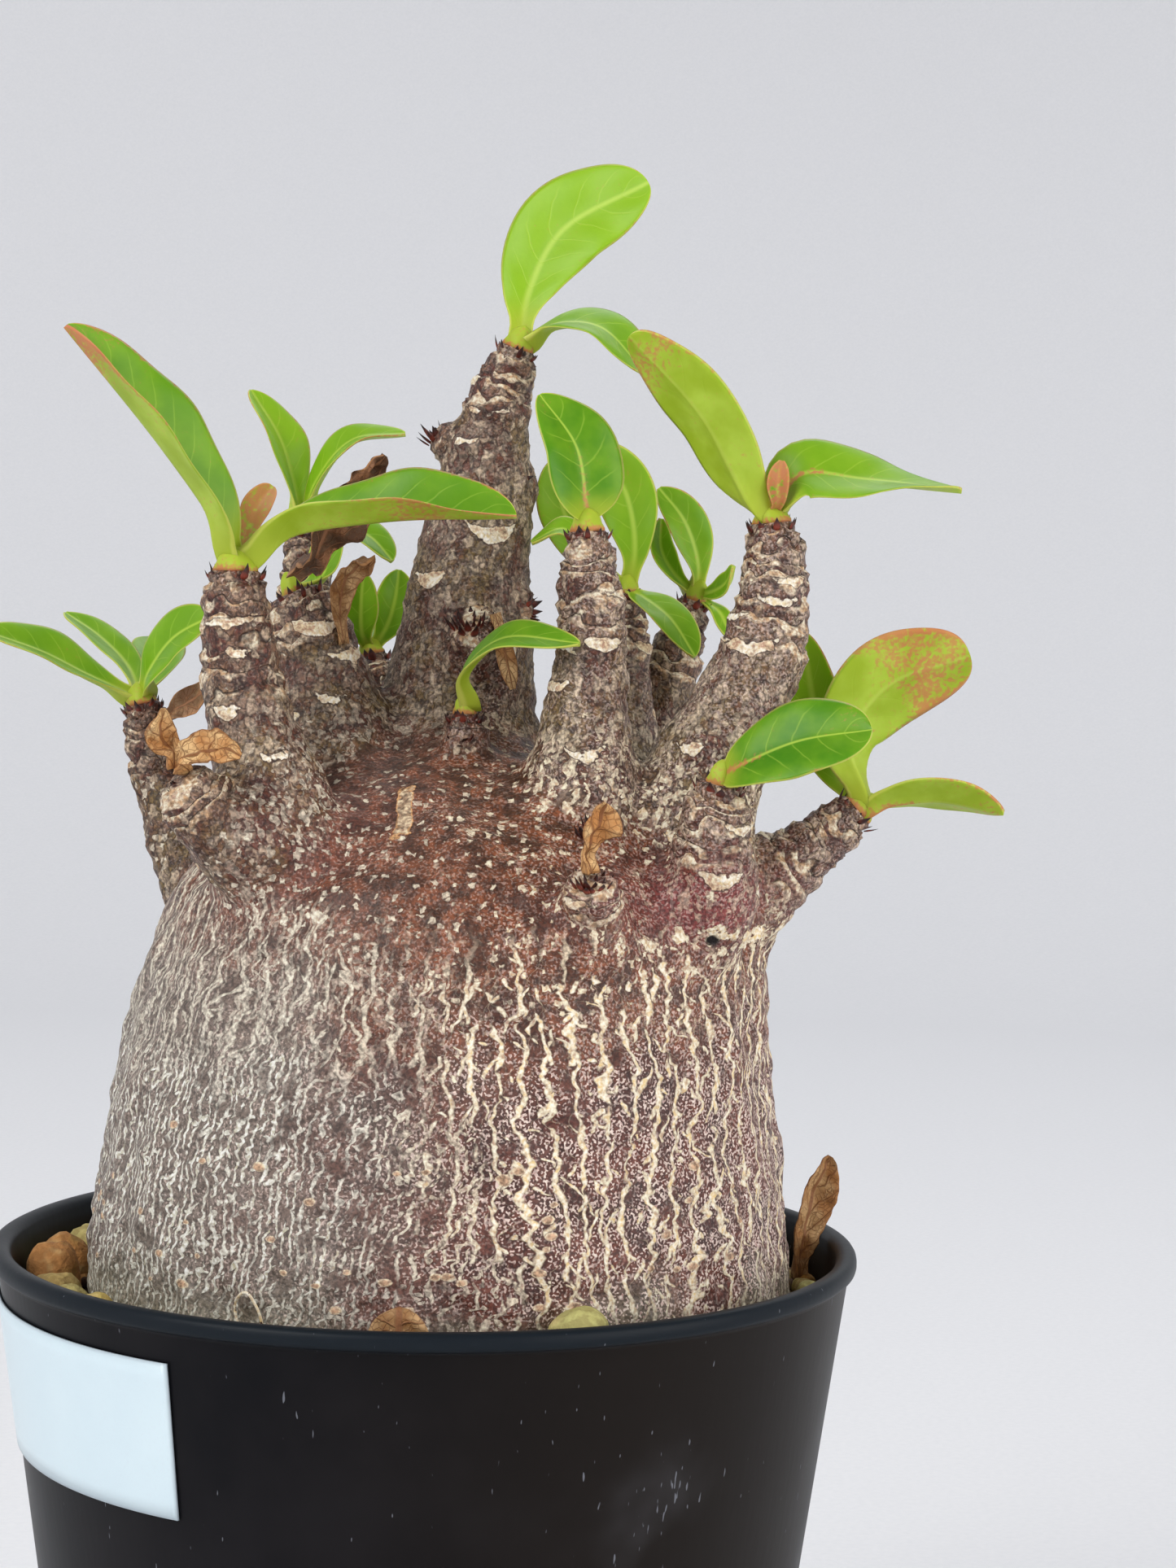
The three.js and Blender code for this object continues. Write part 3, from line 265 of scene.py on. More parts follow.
# Dead leaves and husks that hang on or stand in the pot: midrib points, half width, facing, fold, and how
# dark (shade) and how crumpled they are.
WITHERED = {
    "dried_leaf_left_stub": (
        [(-17.4, -1.3, 175.4), (-15, -6, 177.4), (-11, -8, 183), (-6.5, -8.5, 190)], 3.6,
        (0.5, -0.8, -0.4), 34, {"shade": 0.9, "crumple": 0.8}),
    "dried_curl_left_stub": (
        [(-11.2, -2.4, 167.4), (-11.6, -3.6, 172), (-10.4, -5, 176), (-7.4, -6.6, 176.8)], 2.2,
        (0.3, -0.7, 0.6), 44, {"shade": 0.5, "crumple": 0.6}),
    "dried_leaf_far_left": (
        [(-35.4, 16, 157.6), (-33.4, 13.5, 158.4), (-31, 12, 160), (-28, 10.5, 162.5)], 2,
        (0, -0.8, 0.5), 20, {"shade": 0.8, "crumple": 0.3}),
    "dried_leaf_front_stub": (
        [(19.2, -35.9, 142.9), (18.8, -36, 145), (19.4, -36.5, 148), (20.9, -37, 150.6)], 3.1,
        (0.5, -0.85, 0.1), 40, {"shade": 0.08, "crumple": 0.5, "widest": 0.72, "blunt": 0.42}),
    "dried_strip_trunk": (
        [(7, -4.2, 171.4), (7.8, -4.6, 169), (8.5, -4.7, 166), (9.3, -4.4, 162.4)], 1.2,
        (0.2, -1, 0), 16, {"shade": 0.4, "crumple": 0.3}),
    "husk_in_pot": (
        [(46.4, 8, 89), (46.6, 8.2, 94.5), (48.2, 8.5, 100.4), (50, 8.5, 104.5)], 3.2,
        (0.5, -0.8, 0.2), 38, {"shade": 0.35, "crumple": 0.35}),
}
DEAD_PAIR = [
    ([(-27.8, -30, 155), (-29.2, -30.5, 157), (-29, -31, 160)], 1.9, (0.3, -0.9, 0), 14),
    ([(-26, -31, 155), (-23.5, -32, 156), (-20, -33, 155)], 2.0, (0, -0.8, 0.5), 14),
]


# ------ shape helpers


def unit(vectors):
    """The same directions at length one."""
    return vectors / np.maximum(np.linalg.norm(vectors, axis=-1, keepdims=True), 1e-12)


def smoothstep(value, low, high):
    """0 below low, 1 above high, and 3t^2 - 2t^3 of the share t between them."""
    t = np.clip((value - low) / (high - low), 0, 1)
    return t * t * (3 - 2 * t)


def round_turn(count):
    """Angles of this many points at equal steps round a turn."""
    return TAU * np.arange(count) / count


def waves(points, size, seed):
    """Smooth random field of about unit spread: the sum of sines that run in random directions, each with
    a wavelength near size."""
    rng = np.random.default_rng(seed)
    runs = unit(rng.normal(size=(SINES, 3))) * (TAU / (size * rng.uniform(0.7, 1.4, (SINES, 1))))
    starts = rng.uniform(0, TAU, SINES)
    total = np.zeros(len(points))
    for run, start in zip(runs, starts):
        total += np.sin(points @ run + start)
    return total * math.sqrt(2 / SINES)


def spline(knots, steps=40):
    """Centripetal Catmull-Rom curve: between two knots a cubic whose end slopes follow the neighbours,
    weighted by the square roots of the distances. Gives points, place among the knots, and arc length."""
    p = np.asarray(knots, float)
    ends = np.vstack([2 * p[0] - p[1], p, 2 * p[-1] - p[-2]])
    gaps = np.maximum(np.linalg.norm(np.diff(ends, axis=0), axis=1) ** 0.5, 1e-4)[:, None]
    before, here, after = gaps[:-2], gaps[1:-1], gaps[2:]
    x0, x1, x2, x3 = ends[:-3], ends[1:-2], ends[2:-1], ends[3:]
    slope1 = ((x1 - x0) / before - (x2 - x0) / (before + here) + (x2 - x1) / here) * here
    slope2 = ((x2 - x1) / here - (x3 - x1) / (here + after) + (x3 - x2) / after) * here
    t = np.linspace(0, 1, steps, endpoint=False)[None, :, None]
    x1, x2, slope1, slope2 = (a[:, None, :] for a in (x1, x2, slope1, slope2))
    body = (x1 + slope1 * t + (3 * (x2 - x1) - 2 * slope1 - slope2) * t ** 2
            + (2 * (x1 - x2) + slope1 + slope2) * t ** 3)
    points = np.vstack([body.reshape(-1, 3), p[-1:]])
    place = np.append((np.arange(len(p) - 1)[:, None] + t[0, :, 0]).ravel(), len(p) - 1)
    length = np.append(0, np.cumsum(np.linalg.norm(np.diff(points, axis=0), axis=1)))
    return points, place, length


def points_at(points, length, at):
    """Points of a curve at distances along it, straight between the points given."""
    return np.stack([np.interp(at, length, points[:, i]) for i in range(3)], -1)


def curve_at(knots, shares):
    """Points and tangents at shares of the spline's arc length."""
    points, _, length = spline(knots)
    at, step = np.asarray(shares, float) * length[-1], 0.01 * length[-1]
    low, high = (points_at(points, length, np.clip(at + way, 0, length[-1])) for way in (-step, step))
    return points_at(points, length, at), unit(high - low)


def square_to(tangent, direction):
    """The part of a direction that is square to the tangent, at length one."""
    direction = np.broadcast_to(direction, tangent.shape)
    return unit(direction - tangent * np.sum(direction * tangent, -1, keepdims=True))


def grid_quads(rows, columns):
    """Corner numbers of the quads between neighbouring points of a grid that closes round each row."""
    r, c = np.meshgrid(np.arange(rows - 1), np.arange(columns), indexing="ij")
    nxt = (c + 1) % columns
    return np.stack([r * columns + c, r * columns + nxt, (r + 1) * columns + nxt, (r + 1) * columns + c],
                    -1).reshape(-1, 4)


def closed_body(rings, first, last, slot=0, **values):
    """A closed body from rings of points, (rows, columns, 3), with one pole point at each end. Values are
    one for all, or per ring, column or ring point, and a pole takes the mean of its ring."""
    rows, columns = rings.shape[:2]
    count = rows * columns
    side = np.arange(columns)
    fans = [np.stack([np.full(columns, count), (side + 1) % columns, side], -1),
            np.stack([np.full(columns, count + 1), side, (side + 1) % columns], -1)]
    fans[1][:, 1:] += count - columns
    attributes = {}
    for name, value in values.items():
        value = np.broadcast_to(value, (rows, columns) + np.shape(value)[2:]).astype(float)
        attributes[name] = np.concatenate([
            value.reshape((count,) + value.shape[2:]), value[:1].mean(1), value[-1:].mean(1)])
    return {"points": np.vstack([rings.reshape(-1, 3), [first], [last]]),
            "quads": grid_quads(rows, columns), "triangles": np.vstack(fans), "slot": slot,
            "values": attributes}


def outward(body):
    """Turns a body's faces round if its signed volume says that they look in."""
    p, q, t = body["points"], body["quads"], body["triangles"]
    corners = np.vstack([t, q[:, [0, 1, 2]], q[:, [0, 2, 3]]])
    a, b, c = (p[corners[:, i]] for i in range(3))
    if np.sum(a * np.cross(b, c)) < 0:
        body["quads"], body["triangles"] = q[:, ::-1], t[:, ::-1]
    return body


def make_object(name, bodies, materials):
    """One object from closed bodies in millimetres. Each value becomes a point attribute, except that uv
    becomes the UV map."""
    loops, totals, slots, start = [], [], [], 0
    for body in map(outward, bodies):
        for corners in (body["quads"], body["triangles"]):
            loops.append(corners.ravel() + start)
            totals.append(np.full(len(corners), corners.shape[1]))
            slots.append(np.full(len(corners), body["slot"]))
        start += len(body["points"])
    loops, totals, slots = (np.concatenate(a).astype(np.int32) for a in (loops, totals, slots))
    mesh = bpy.data.meshes.new(name)
    mesh.vertices.add(start)
    points = np.vstack([body["points"] for body in bodies]) * MM
    mesh.vertices.foreach_set("co", points.astype(np.float32).ravel())
    mesh.loops.add(len(loops))
    mesh.loops.foreach_set("vertex_index", loops)
    mesh.polygons.add(len(totals))
    mesh.polygons.foreach_set("loop_start", np.append(0, np.cumsum(totals)[:-1]).astype(np.int32))
    mesh.polygons.foreach_set("material_index", slots)
    mesh.polygons.foreach_set("use_smooth", np.full(len(totals), True))
    for key in sorted({key for body in bodies for key in body["values"]}):
        width = 2 if key == "uv" else 1
        value = np.concatenate([
            np.asarray(body["values"].get(key, np.zeros((len(body["points"]), width)))).reshape(-1, width)
            for body in bodies]).astype(np.float32)
        if key == "uv":
            layer = mesh.uv_layers.new(name="blade")
            layer.data.foreach_set("uv", value[loops].ravel())
        else:
            mesh.attributes.new(key, "FLOAT", "POINT").data.foreach_set("value", value.ravel())
    mesh.update(calc_edges=True)
    if mesh.validate():
        raise RuntimeError(f"{name} has faces that Blender had to mend")
    for material in materials:
        mesh.materials.append(material)
    made = bpy.data.objects.new(name, mesh)
    bpy.context.scene.collection.objects.link(made)
    return made


def make_piece(name, bodies, materials):
    """An object that belongs to the plant and its pot, on the root body."""
    piece = make_object(name, bodies, materials)
    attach(piece, "root")
    return piece


# ------ the plant's body as one distance field


def pot_outer(height):
    """Outer radius of the pot's wall at a height."""
    return POT_FOOT + (POT_WALL_TOP - POT_FOOT) * height / POT_HEIGHT


def pot_inner(height):
    """Inner radius of the pot's wall at a height."""
    return pot_outer(height) - POT_WALL


def caudex_row(height):
    """Radius and centre of the bare caudex at a height, straight between its rows."""
    return [np.interp(height, CAUDEX_ROWS[:, 0], CAUDEX_ROWS[:, i]) for i in (1, 2, 3)]


def profile_table():
    """Signed distance to the caudex's outline in its half plane: over a table of radius and height, the
    distance to the nearest point of the smoothed outline, below zero inside."""
    outline, _, _ = spline(CAUDEX_ROWS[:, [1, 0, 3]] * (1, 1, 0), 24)
    outline = np.vstack([[0, 49.5, 0], outline])[:, :2]
    radius, height = np.arange(0, 60, PROFILE_CELL), np.arange(PROFILE_LOW, 210, PROFILE_CELL)
    grid = np.stack(np.meshgrid(radius, height, indexing="ij"), -1)
    nearest = np.full(grid.shape[:2], 1e9)
    for a, b in zip(outline[:-1], outline[1:]):
        edge = b - a
        t = np.clip(((grid - a) @ edge) / max(edge @ edge, 1e-9), 0, 1)
        nearest = np.minimum(nearest, np.linalg.norm(grid - a - t[..., None] * edge, axis=-1))
    order = np.argsort(outline[:, 1])
    wall = np.interp(height, outline[order, 1], outline[order, 0], left=-1, right=-1)
    return np.where(radius[:, None] < wall, -nearest, nearest)


PROFILE_CELL, PROFILE_LOW = 0.25, 44.0
PROFILE = profile_table()


def lookup(table, u, v):
    """Value of a table between its cells, mixed evenly from the four nearest."""
    u = np.clip(u, 0, table.shape[0] - 1.001)
    v = np.clip(v, 0, table.shape[1] - 1.001)
    i, j = u.astype(int), v.astype(int)
    a, b = u - i, v - j
    return ((table[i, j] * (1 - b) + table[i, j + 1] * b) * (1 - a)
            + (table[i + 1, j] * (1 - b) + table[i + 1, j + 1] * b) * a)


def body_distance(points):
    """Signed distance to the bare caudex: its outline's table at each point's radius and height."""
    _, x, y = caudex_row(points[:, 2])
    radius = np.hypot(points[:, 0] - x, points[:, 1] - y)
    return lookup(PROFILE, radius / PROFILE_CELL, (points[:, 2] - PROFILE_LOW) / PROFILE_CELL)


def branch_balls(knots):
    """Balls along a branch: centres on its spline, radii straight between the knots. Gives the balls, each
    one's distance from the branch's end, and that end and the way it looks."""
    knots = np.asarray(knots, float)
    points, place, length = spline(knots[:, :3])
    count = max(4, int(length[-1] / BALL_SPACING))
    at = np.linspace(0, length[-1] - 0.35 * knots[-1, 3], count)
    radii = np.interp(np.interp(at, length, place), np.arange(len(knots)), knots[:, 3])
    return points_at(points, length, at), radii, length[-1] - at, points[-1], unit(points[-1] - points[-4])


LIMBS = [branch_balls(shoot["knots"]) for shoot in SHOOTS.values()] + [branch_balls(k) for k in STUBS]
COLLARS = [shoot["collars"] for shoot in SHOOTS.values()] + STUB_COLLARS


def near_limb(points, limb, margin):
    """Numbers of the points in the box of a limb, grown by a margin."""
    centres, radii, *_ = limb
    low = (centres - radii[:, None]).min(0) - margin
    high = (centres + radii[:, None]).max(0) + margin
    return np.flatnonzero(np.all((points > low) & (points < high), axis=1))


def limb_distance(points, limb):
    """Distance to the nearest of a limb's balls, or to the plane that cuts its end where that is farther,
    and which ball that is."""
    centres, radii, _, end, direction = limb
    nearest, which = np.full(len(points), 1e9), np.zeros(len(points), int)
    for i, (centre, radius) in enumerate(zip(centres, radii)):
        away = points - centre
        distance = np.sqrt(np.einsum("ij,ij->i", away, away)) - radius
        closer = distance < nearest
        nearest[closer] = distance[closer]
        which[closer] = i
    return np.maximum(nearest, (points - end) @ direction), which


def plant_distance(points):
    """Signed distance to the caudex with its limbs: the smallest of all, where two that are within BLEND
    of each other melt as min(a, b) - h * h * BLEND / 4 with h = 1 - |a - b| / BLEND."""
    field = body_distance(points)
    for limb in LIMBS:
        some = near_limb(points, limb, 2 * BLEND)
        if len(some) == 0:
            continue
        a, b = field[some], limb_distance(points[some], limb)[0]
        h = np.maximum(0, 1 - np.abs(a - b) / BLEND)
        field[some] = np.minimum(a, b) - h * h * BLEND / 4
    return field


def downhill(points):
    """Unit direction in which the plant's distance grows, by central differences."""
    step = 0.15
    slopes = [plant_distance(points + offset) - plant_distance(points - offset)
              for offset in np.eye(3) * step]
    return unit(np.stack(slopes, -1))


def surface_net(field, origin, cell):
    """Closed surface where a grid of distances is zero. Each cell that the surface crosses has one point,
    the mean of its edges' crossings, and each crossed edge joins its four cells by a quad."""
    cells = np.array(field.shape) - 1
    sums, counts, quads = np.zeros((cells.prod(), 3)), np.zeros(cells.prod()), []
    number = np.arange(cells.prod()).reshape(cells)
    for axis in range(3):
        low = np.take(field, range(cells[axis]), axis)
        high = np.take(field, range(1, cells[axis] + 1), axis)
        crossed = np.argwhere((low < 0) != (high < 0))
        a, b = low[tuple(crossed.T)], high[tuple(crossed.T)]
        place = crossed.astype(float)
        place[:, axis] += a / (a - b)
        u, v = (axis + 1) % 3, (axis + 2) % 3
        keep = ((crossed[:, u] > 0) & (crossed[:, v] > 0)
                & (crossed[:, u] < cells[u]) & (crossed[:, v] < cells[v]))
        crossed, place, a = crossed[keep], place[keep], a[keep]
        corners = []
        for du, dv in ((-1, -1), (0, -1), (0, 0), (-1, 0)):
            cell_at = crossed.copy()
            cell_at[:, u] += du
            cell_at[:, v] += dv
            flat = number[tuple(cell_at.T)]
            counts += np.bincount(flat, minlength=len(counts))
            for i in range(3):
                sums[:, i] += np.bincount(flat, place[:, i], len(counts))
            corners.append(flat)
        quad = np.stack(corners, -1)
        quads.append(np.where((a < 0)[:, None], quad, quad[:, ::-1]))
    used = np.flatnonzero(counts)
    rank = np.zeros(len(counts), int)
    rank[used] = np.arange(len(used))
    return origin + cell * sums[used] / counts[used, None], rank[np.vstack(quads)]


# ------ cork and scars


def wart_places():
    """Angle, height and size of the barrel's small round warts, which stand in loose level rows."""
    rng = np.random.default_rng(11)
    rows = rng.choice(WART_ROWS, WART_COUNT, p=WART_SHARES)
    return np.column_stack([rng.uniform(0, TAU, WART_COUNT), rows + rng.normal(0, 0.7, WART_COUNT),
                            rng.uniform(0.3, 0.58, WART_COUNT)])


def wart_mask(turn, height):
    """How far inside a wart each place lies, as a share of the wart's size. Warts are wide ovals."""
    mask = np.full(len(turn), -1.0)
    for angle, level, size in wart_places():
        away = ((turn - angle + math.pi) % TAU - math.pi) * BARREL_RADIUS
        mask = np.maximum(mask, 1 - np.hypot(away / 1.7, height - level) / size)
    return mask


def skin_masks(points):
    """Where each kind of skin lies, about 1 inside and 0 or less outside: warts, the barrel's own skin,
    fine cork, the pale left side, which is partly painted skylight, the red shoulder, cream crusts, and the
    green tinge at the soil."""
    _, x, y = caudex_row(points[:, 2])
    turn = np.arctan2(points[:, 1] - y, points[:, 0] - x) % TAU
    height = points[:, 2]
    slow = waves(points, 16, 5)
    shoulder = np.exp(-(((points[:, ::2] - SHOULDER) / SHOULDER_SPREAD) ** 2).sum(1))
    shoulder *= smoothstep(-points[:, 1], -6, 12)
    cream_band = np.exp(-((height - CREAM_BAND - 0.5 * slow) / 1.3) ** 2) * smoothstep(points[:, 0], 20, 27)
    knee = np.exp(-(np.linalg.norm((points - KNEE_CRUST) * (0.75, 1, 1.9), axis=1) / 5.5) ** 2)
    knee_skin = 0.6 * np.exp(-(np.linalg.norm(points - KNEE_SKIN, axis=1) / 8.5) ** 2)
    return {
        "wart": wart_mask(turn, height),
        "barrel": 1 - smoothstep(body_distance(points), 0.8, 2.6),
        "fine": 1 - smoothstep(np.cos(turn + math.radians(37)) + 0.1 * slow, 0.42, 0.86),
        "pale": smoothstep(-np.cos(turn - math.radians(20)) + 0.1 * slow, 0.05, 0.98)
        * (1 - 0.6 * smoothstep(height, 126, 142)),
        "maroon": shoulder * (1.1 + 0.25 * slow) + knee_skin,
        "crust": (cream_band + 0.9 * knee) * (0.8 + 0.3 * waves(points, 3, 6)),
        "green": 1 - smoothstep(height, 89, 98 + 2 * slow),
    }


def scar_edge(across, below, half, depth, sag=0.2):
    """How far inside a leaf scar each place lies, in millimetres. The scar is a half moon: its lower edge
    is the parabola depth * (1 - (across / half)^2), and its upper edge is sag times that."""
    bow = 1 - (across / half) ** 2
    return np.minimum(below - sag * depth * bow, depth * bow - below)


def collars_before(pitches):
    """How many collars begin within a distance of a limb's end, as a smooth count n. The distance is in
    pitches, and COLLAR_FIRST * n + COLLAR_GROWTH * n^2 of them lie before collar n."""
    root = np.sqrt(COLLAR_FIRST ** 2 + 4 * COLLAR_GROWTH * pitches)
    return (root - COLLAR_FIRST) / (2 * COLLAR_GROWTH)


def limb_marks(points, normals):
    """Collars, leaf scars and age along the limbs. A collar stands out most just below the crease that it
    begins with, and it tilts towards its own scar, which is NEXT_TURN round from the last. Gives the masks
    and how far the surface stands out or dips."""
    count = len(points)
    masks = {name: np.zeros(count) for name in ("young", "limb", "collar", "ring")}
    masks["scar"] = np.full(count, -1.0)
    lift = np.zeros(count)
    nearest = np.full(count, 1e9)
    free = smoothstep(body_distance(points), 0.6, 4.0)
    for number, (limb, (reach, pitch)) in enumerate(zip(LIMBS, COLLARS)):
        some = near_limb(points, limb, 1.5)
        distance, which = limb_distance(points[some], limb)
        own = distance < np.minimum(nearest[some], 1.2)
        nearest[some[own]] = distance[own]
        some, which = some[own], which[own]
        centres, radii, to_end, *_ = limb
        radius = radii[which]
        axis = unit(np.gradient(centres, axis=0))[which]
        away = points[some] - centres[which]
        from_end = np.maximum(to_end[which] - np.sum(away * axis, 1), 0)
        side = square_to(axis, np.array([1.0, 0.001, 0]))
        turn = np.arctan2(np.sum(away * np.cross(axis, side), 1), np.sum(away * side, 1))
        stay = free[some]
        rng = np.random.default_rng(40 + number)
        first_turn = rng.uniform(0, TAU)

        # Each collar is tilted by the cosine of its scar's angle, and the rest wanders a little.
        scar_turn = first_turn + NEXT_TURN * collars_before(from_end / pitch)
        tilt = 0.45 * np.cos(turn - scar_turn) + 0.3 * waves(points[some], 3.2, 90)
        ring = collars_before(np.maximum(from_end / pitch + tilt, 0))
        collar = (1 - smoothstep(from_end, 0.65 * reach, reach)) * stay
        part = ring % 1
        rise = collar * (0.85 * smoothstep(part, 0, 0.3) * (1 - 0.7 * part) - 0.25)
        scar = np.full(len(some), -1.0)
        for n in range(1, MOST_SCARS + 1):
            at = pitch * (COLLAR_FIRST * n + COLLAR_GROWTH * n * n) - 0.3
            if at > min(to_end[0] - 4, 34):
                break
            angle = (turn - first_turn - NEXT_TURN * n + math.pi) % TAU - math.pi
            half = np.minimum(0.9 * radius, 3.4) * rng.uniform(0.6, 1.1)
            depth = (1.3 + 0.11 * n) * rng.uniform(0.7, 1.25)
            across, below = angle * radius, from_end - at
            shown = rng.uniform(0, 1) < (0.6 if at < 16 else 0.3)
            rise += 0.4 * np.exp(-(across / half) ** 2 - ((below - 0.6 * depth) / depth) ** 2)
            if shown:
                scar = np.maximum(scar, scar_edge(across, below, half, depth))
        masks["scar"][some] = np.maximum(scar, -1) - 1.5 * (1 - stay)
        masks["young"][some] = (1 - smoothstep(from_end, 0.4 * reach, 1.1 * reach)) * stay
        masks["limb"][some] = stay
        masks["collar"][some] = collar
        masks["ring"][some] = ring
        lift[some] = rise * stay
    lift += old_scar_marks(points, normals, masks)
    masks["scar"] = np.clip(masks["scar"], -1, 1)
    return masks, lift


def old_scar_marks(points, normals, masks):
    """Puts OLD_SCARS in the place of the collars and scars round them. Gives how far they swell."""
    lift = np.zeros(len(points))
    for number, (x, y, z, half, depth) in enumerate(OLD_SCARS):
        close = (np.abs(points[:, 1] - y) < 5) & (normals[:, 1] < -0.15)
        across, below = points[:, 0] - x, z - points[:, 2]
        around = np.exp(-(across / half) ** 2 - ((below - depth / 2) / depth) ** 2) * close
        cleared = np.where(around > 0.25, -1, masks["scar"])
        moon = scar_edge(across, below, half, depth, sag=0.12 + 0.09 * (number % 4))
        masks["scar"] = np.where(close, np.maximum(cleared, moon), cleared)
        masks["collar"] *= 1 - around
        lift += 0.4 * around
    return lift


def oblong_scar(points):
    """How far inside the healed scrape each point lies: on the front of the dome, 2 mm by 5 mm, leaning."""
    away = points - SCRAPE_PLACE
    across = away[:, 0] - 0.08 * away[:, 2] + 0.2 * np.sin(away[:, 2] * 1.4)
    edge = 1 - np.maximum(np.abs(across), np.abs(away[:, 2]) / 2.6)
    return np.where(points[:, 1] < -15, np.maximum(edge, -1), -1)


def skin_values(points, normals):
    """All masks of the skin, and the lift that goes with them."""
    masks = {name: np.clip(value, -1, 1.3) for name, value in skin_masks(points).items()}
    limb, lift = limb_marks(points, normals)
    masks.update(limb)
    masks["scrape"] = oblong_scar(points)
    from_hole = np.linalg.norm((points - HOLE_PLACE) * (0.8, 0.12, 1), axis=1)
    hole = masks["hole"] = np.exp(-(from_hole / 0.85) ** 2)
    plain = 1 - masks["limb"]
    lift += 0.22 * smoothstep(masks["wart"], -0.2, 0.6) + 0.12 * np.clip(masks["crust"], 0, 1)
    lift += 0.2 * smoothstep(masks["scrape"], -0.1, 0.3) - 0.7 * hole
    lift += plain * 0.2 * waves(points, 7, 12) + 0.09 * waves(points, 2.6, 13)
    lift += 0.07 * masks["limb"] * waves(points, 1.3, 14)
    return masks, lift


def barrel_body(columns):
    """The caudex up to BARREL_TOP: in each direction round its axis and at each height, the radius where
    the plant's distance is zero, found by stepping in from outside by the distance itself."""
    buried = np.array([52, 56, 61, 66, 72, 78, 83, 86.5])
    rows = np.concatenate([buried, np.linspace(88, BARREL_TOP, 122), BARREL_TOP + np.array([0.5, 1.0])])
    turn = round_turn(columns)
    height, angle = np.meshgrid(rows, turn, indexing="ij")
    bare, x, y = caudex_row(height)
    out = np.stack([np.cos(angle), np.sin(angle), np.zeros_like(angle)], -1).reshape(-1, 3)
    centre = np.stack([x, y, height], -1).reshape(-1, 3)
    radius = bare.ravel() + 9
    for _ in range(24):
        radius -= 0.9 * plant_distance(centre + out * radius[:, None])
    points = centre + out * radius[:, None]
    masks, lift = skin_values(points, out)
    tuck = smoothstep(points[:, 2], BARREL_TOP - 0.3, BARREL_TOP + 1.0)
    points = points + out * (lift * (1 - tuck) - 0.5 * tuck)[:, None]
    shape = (len(rows), columns)
    values = {name: value.reshape(shape) for name, value in masks.items()}
    foot, top = ((*caudex_row(level)[1:], level) for level in (51.0, rows[-1]))
    return closed_body(points.reshape(shape + (3,)), foot, top, **values)


def crown_body(cell):
    """The dome and all limbs above the barrel: a net over the zero of the plant's distance, drawn onto
    it by two steps down its slope, then lifted along the slope by the scars and cork."""
    low, high = np.array([-46.0, -44.0, 131.4]), np.array([56.0, 44.0, 206.0])
    axes = [np.arange(a, b, cell) for a, b in zip(low, high)]
    grid = np.stack(np.meshgrid(*axes, indexing="ij"), -1)
    field = np.concatenate([plant_distance(slab.reshape(-1, 3)) for slab in np.array_split(grid, 6)])
    field = field.reshape(grid.shape[:3])
    floor = low[2] + 1.6 * cell
    field = np.maximum(field, floor - grid[..., 2])
    points, quads = surface_net(field, low, cell)
    flat = points[:, 2] < floor + 0.3 * cell
    for _ in range(2):
        slope = downhill(points)
        move = slope * plant_distance(points)[:, None] * (~flat)[:, None]
        points = points - np.clip(move, -cell, cell)
    normals = downhill(points)
    masks, lift = skin_values(points, normals)
    tuck = 1 - smoothstep(points[:, 2], BARREL_TOP - 1.0, BARREL_TOP + 0.2)
    points = points + normals * (~flat * (lift * (1 - tuck) - 0.35 * tuck))[:, None]
    return {"points": points, "quads": quads, "triangles": np.zeros((0, 3), int), "slot": 0, "values": masks}


# ------ leaves and scales


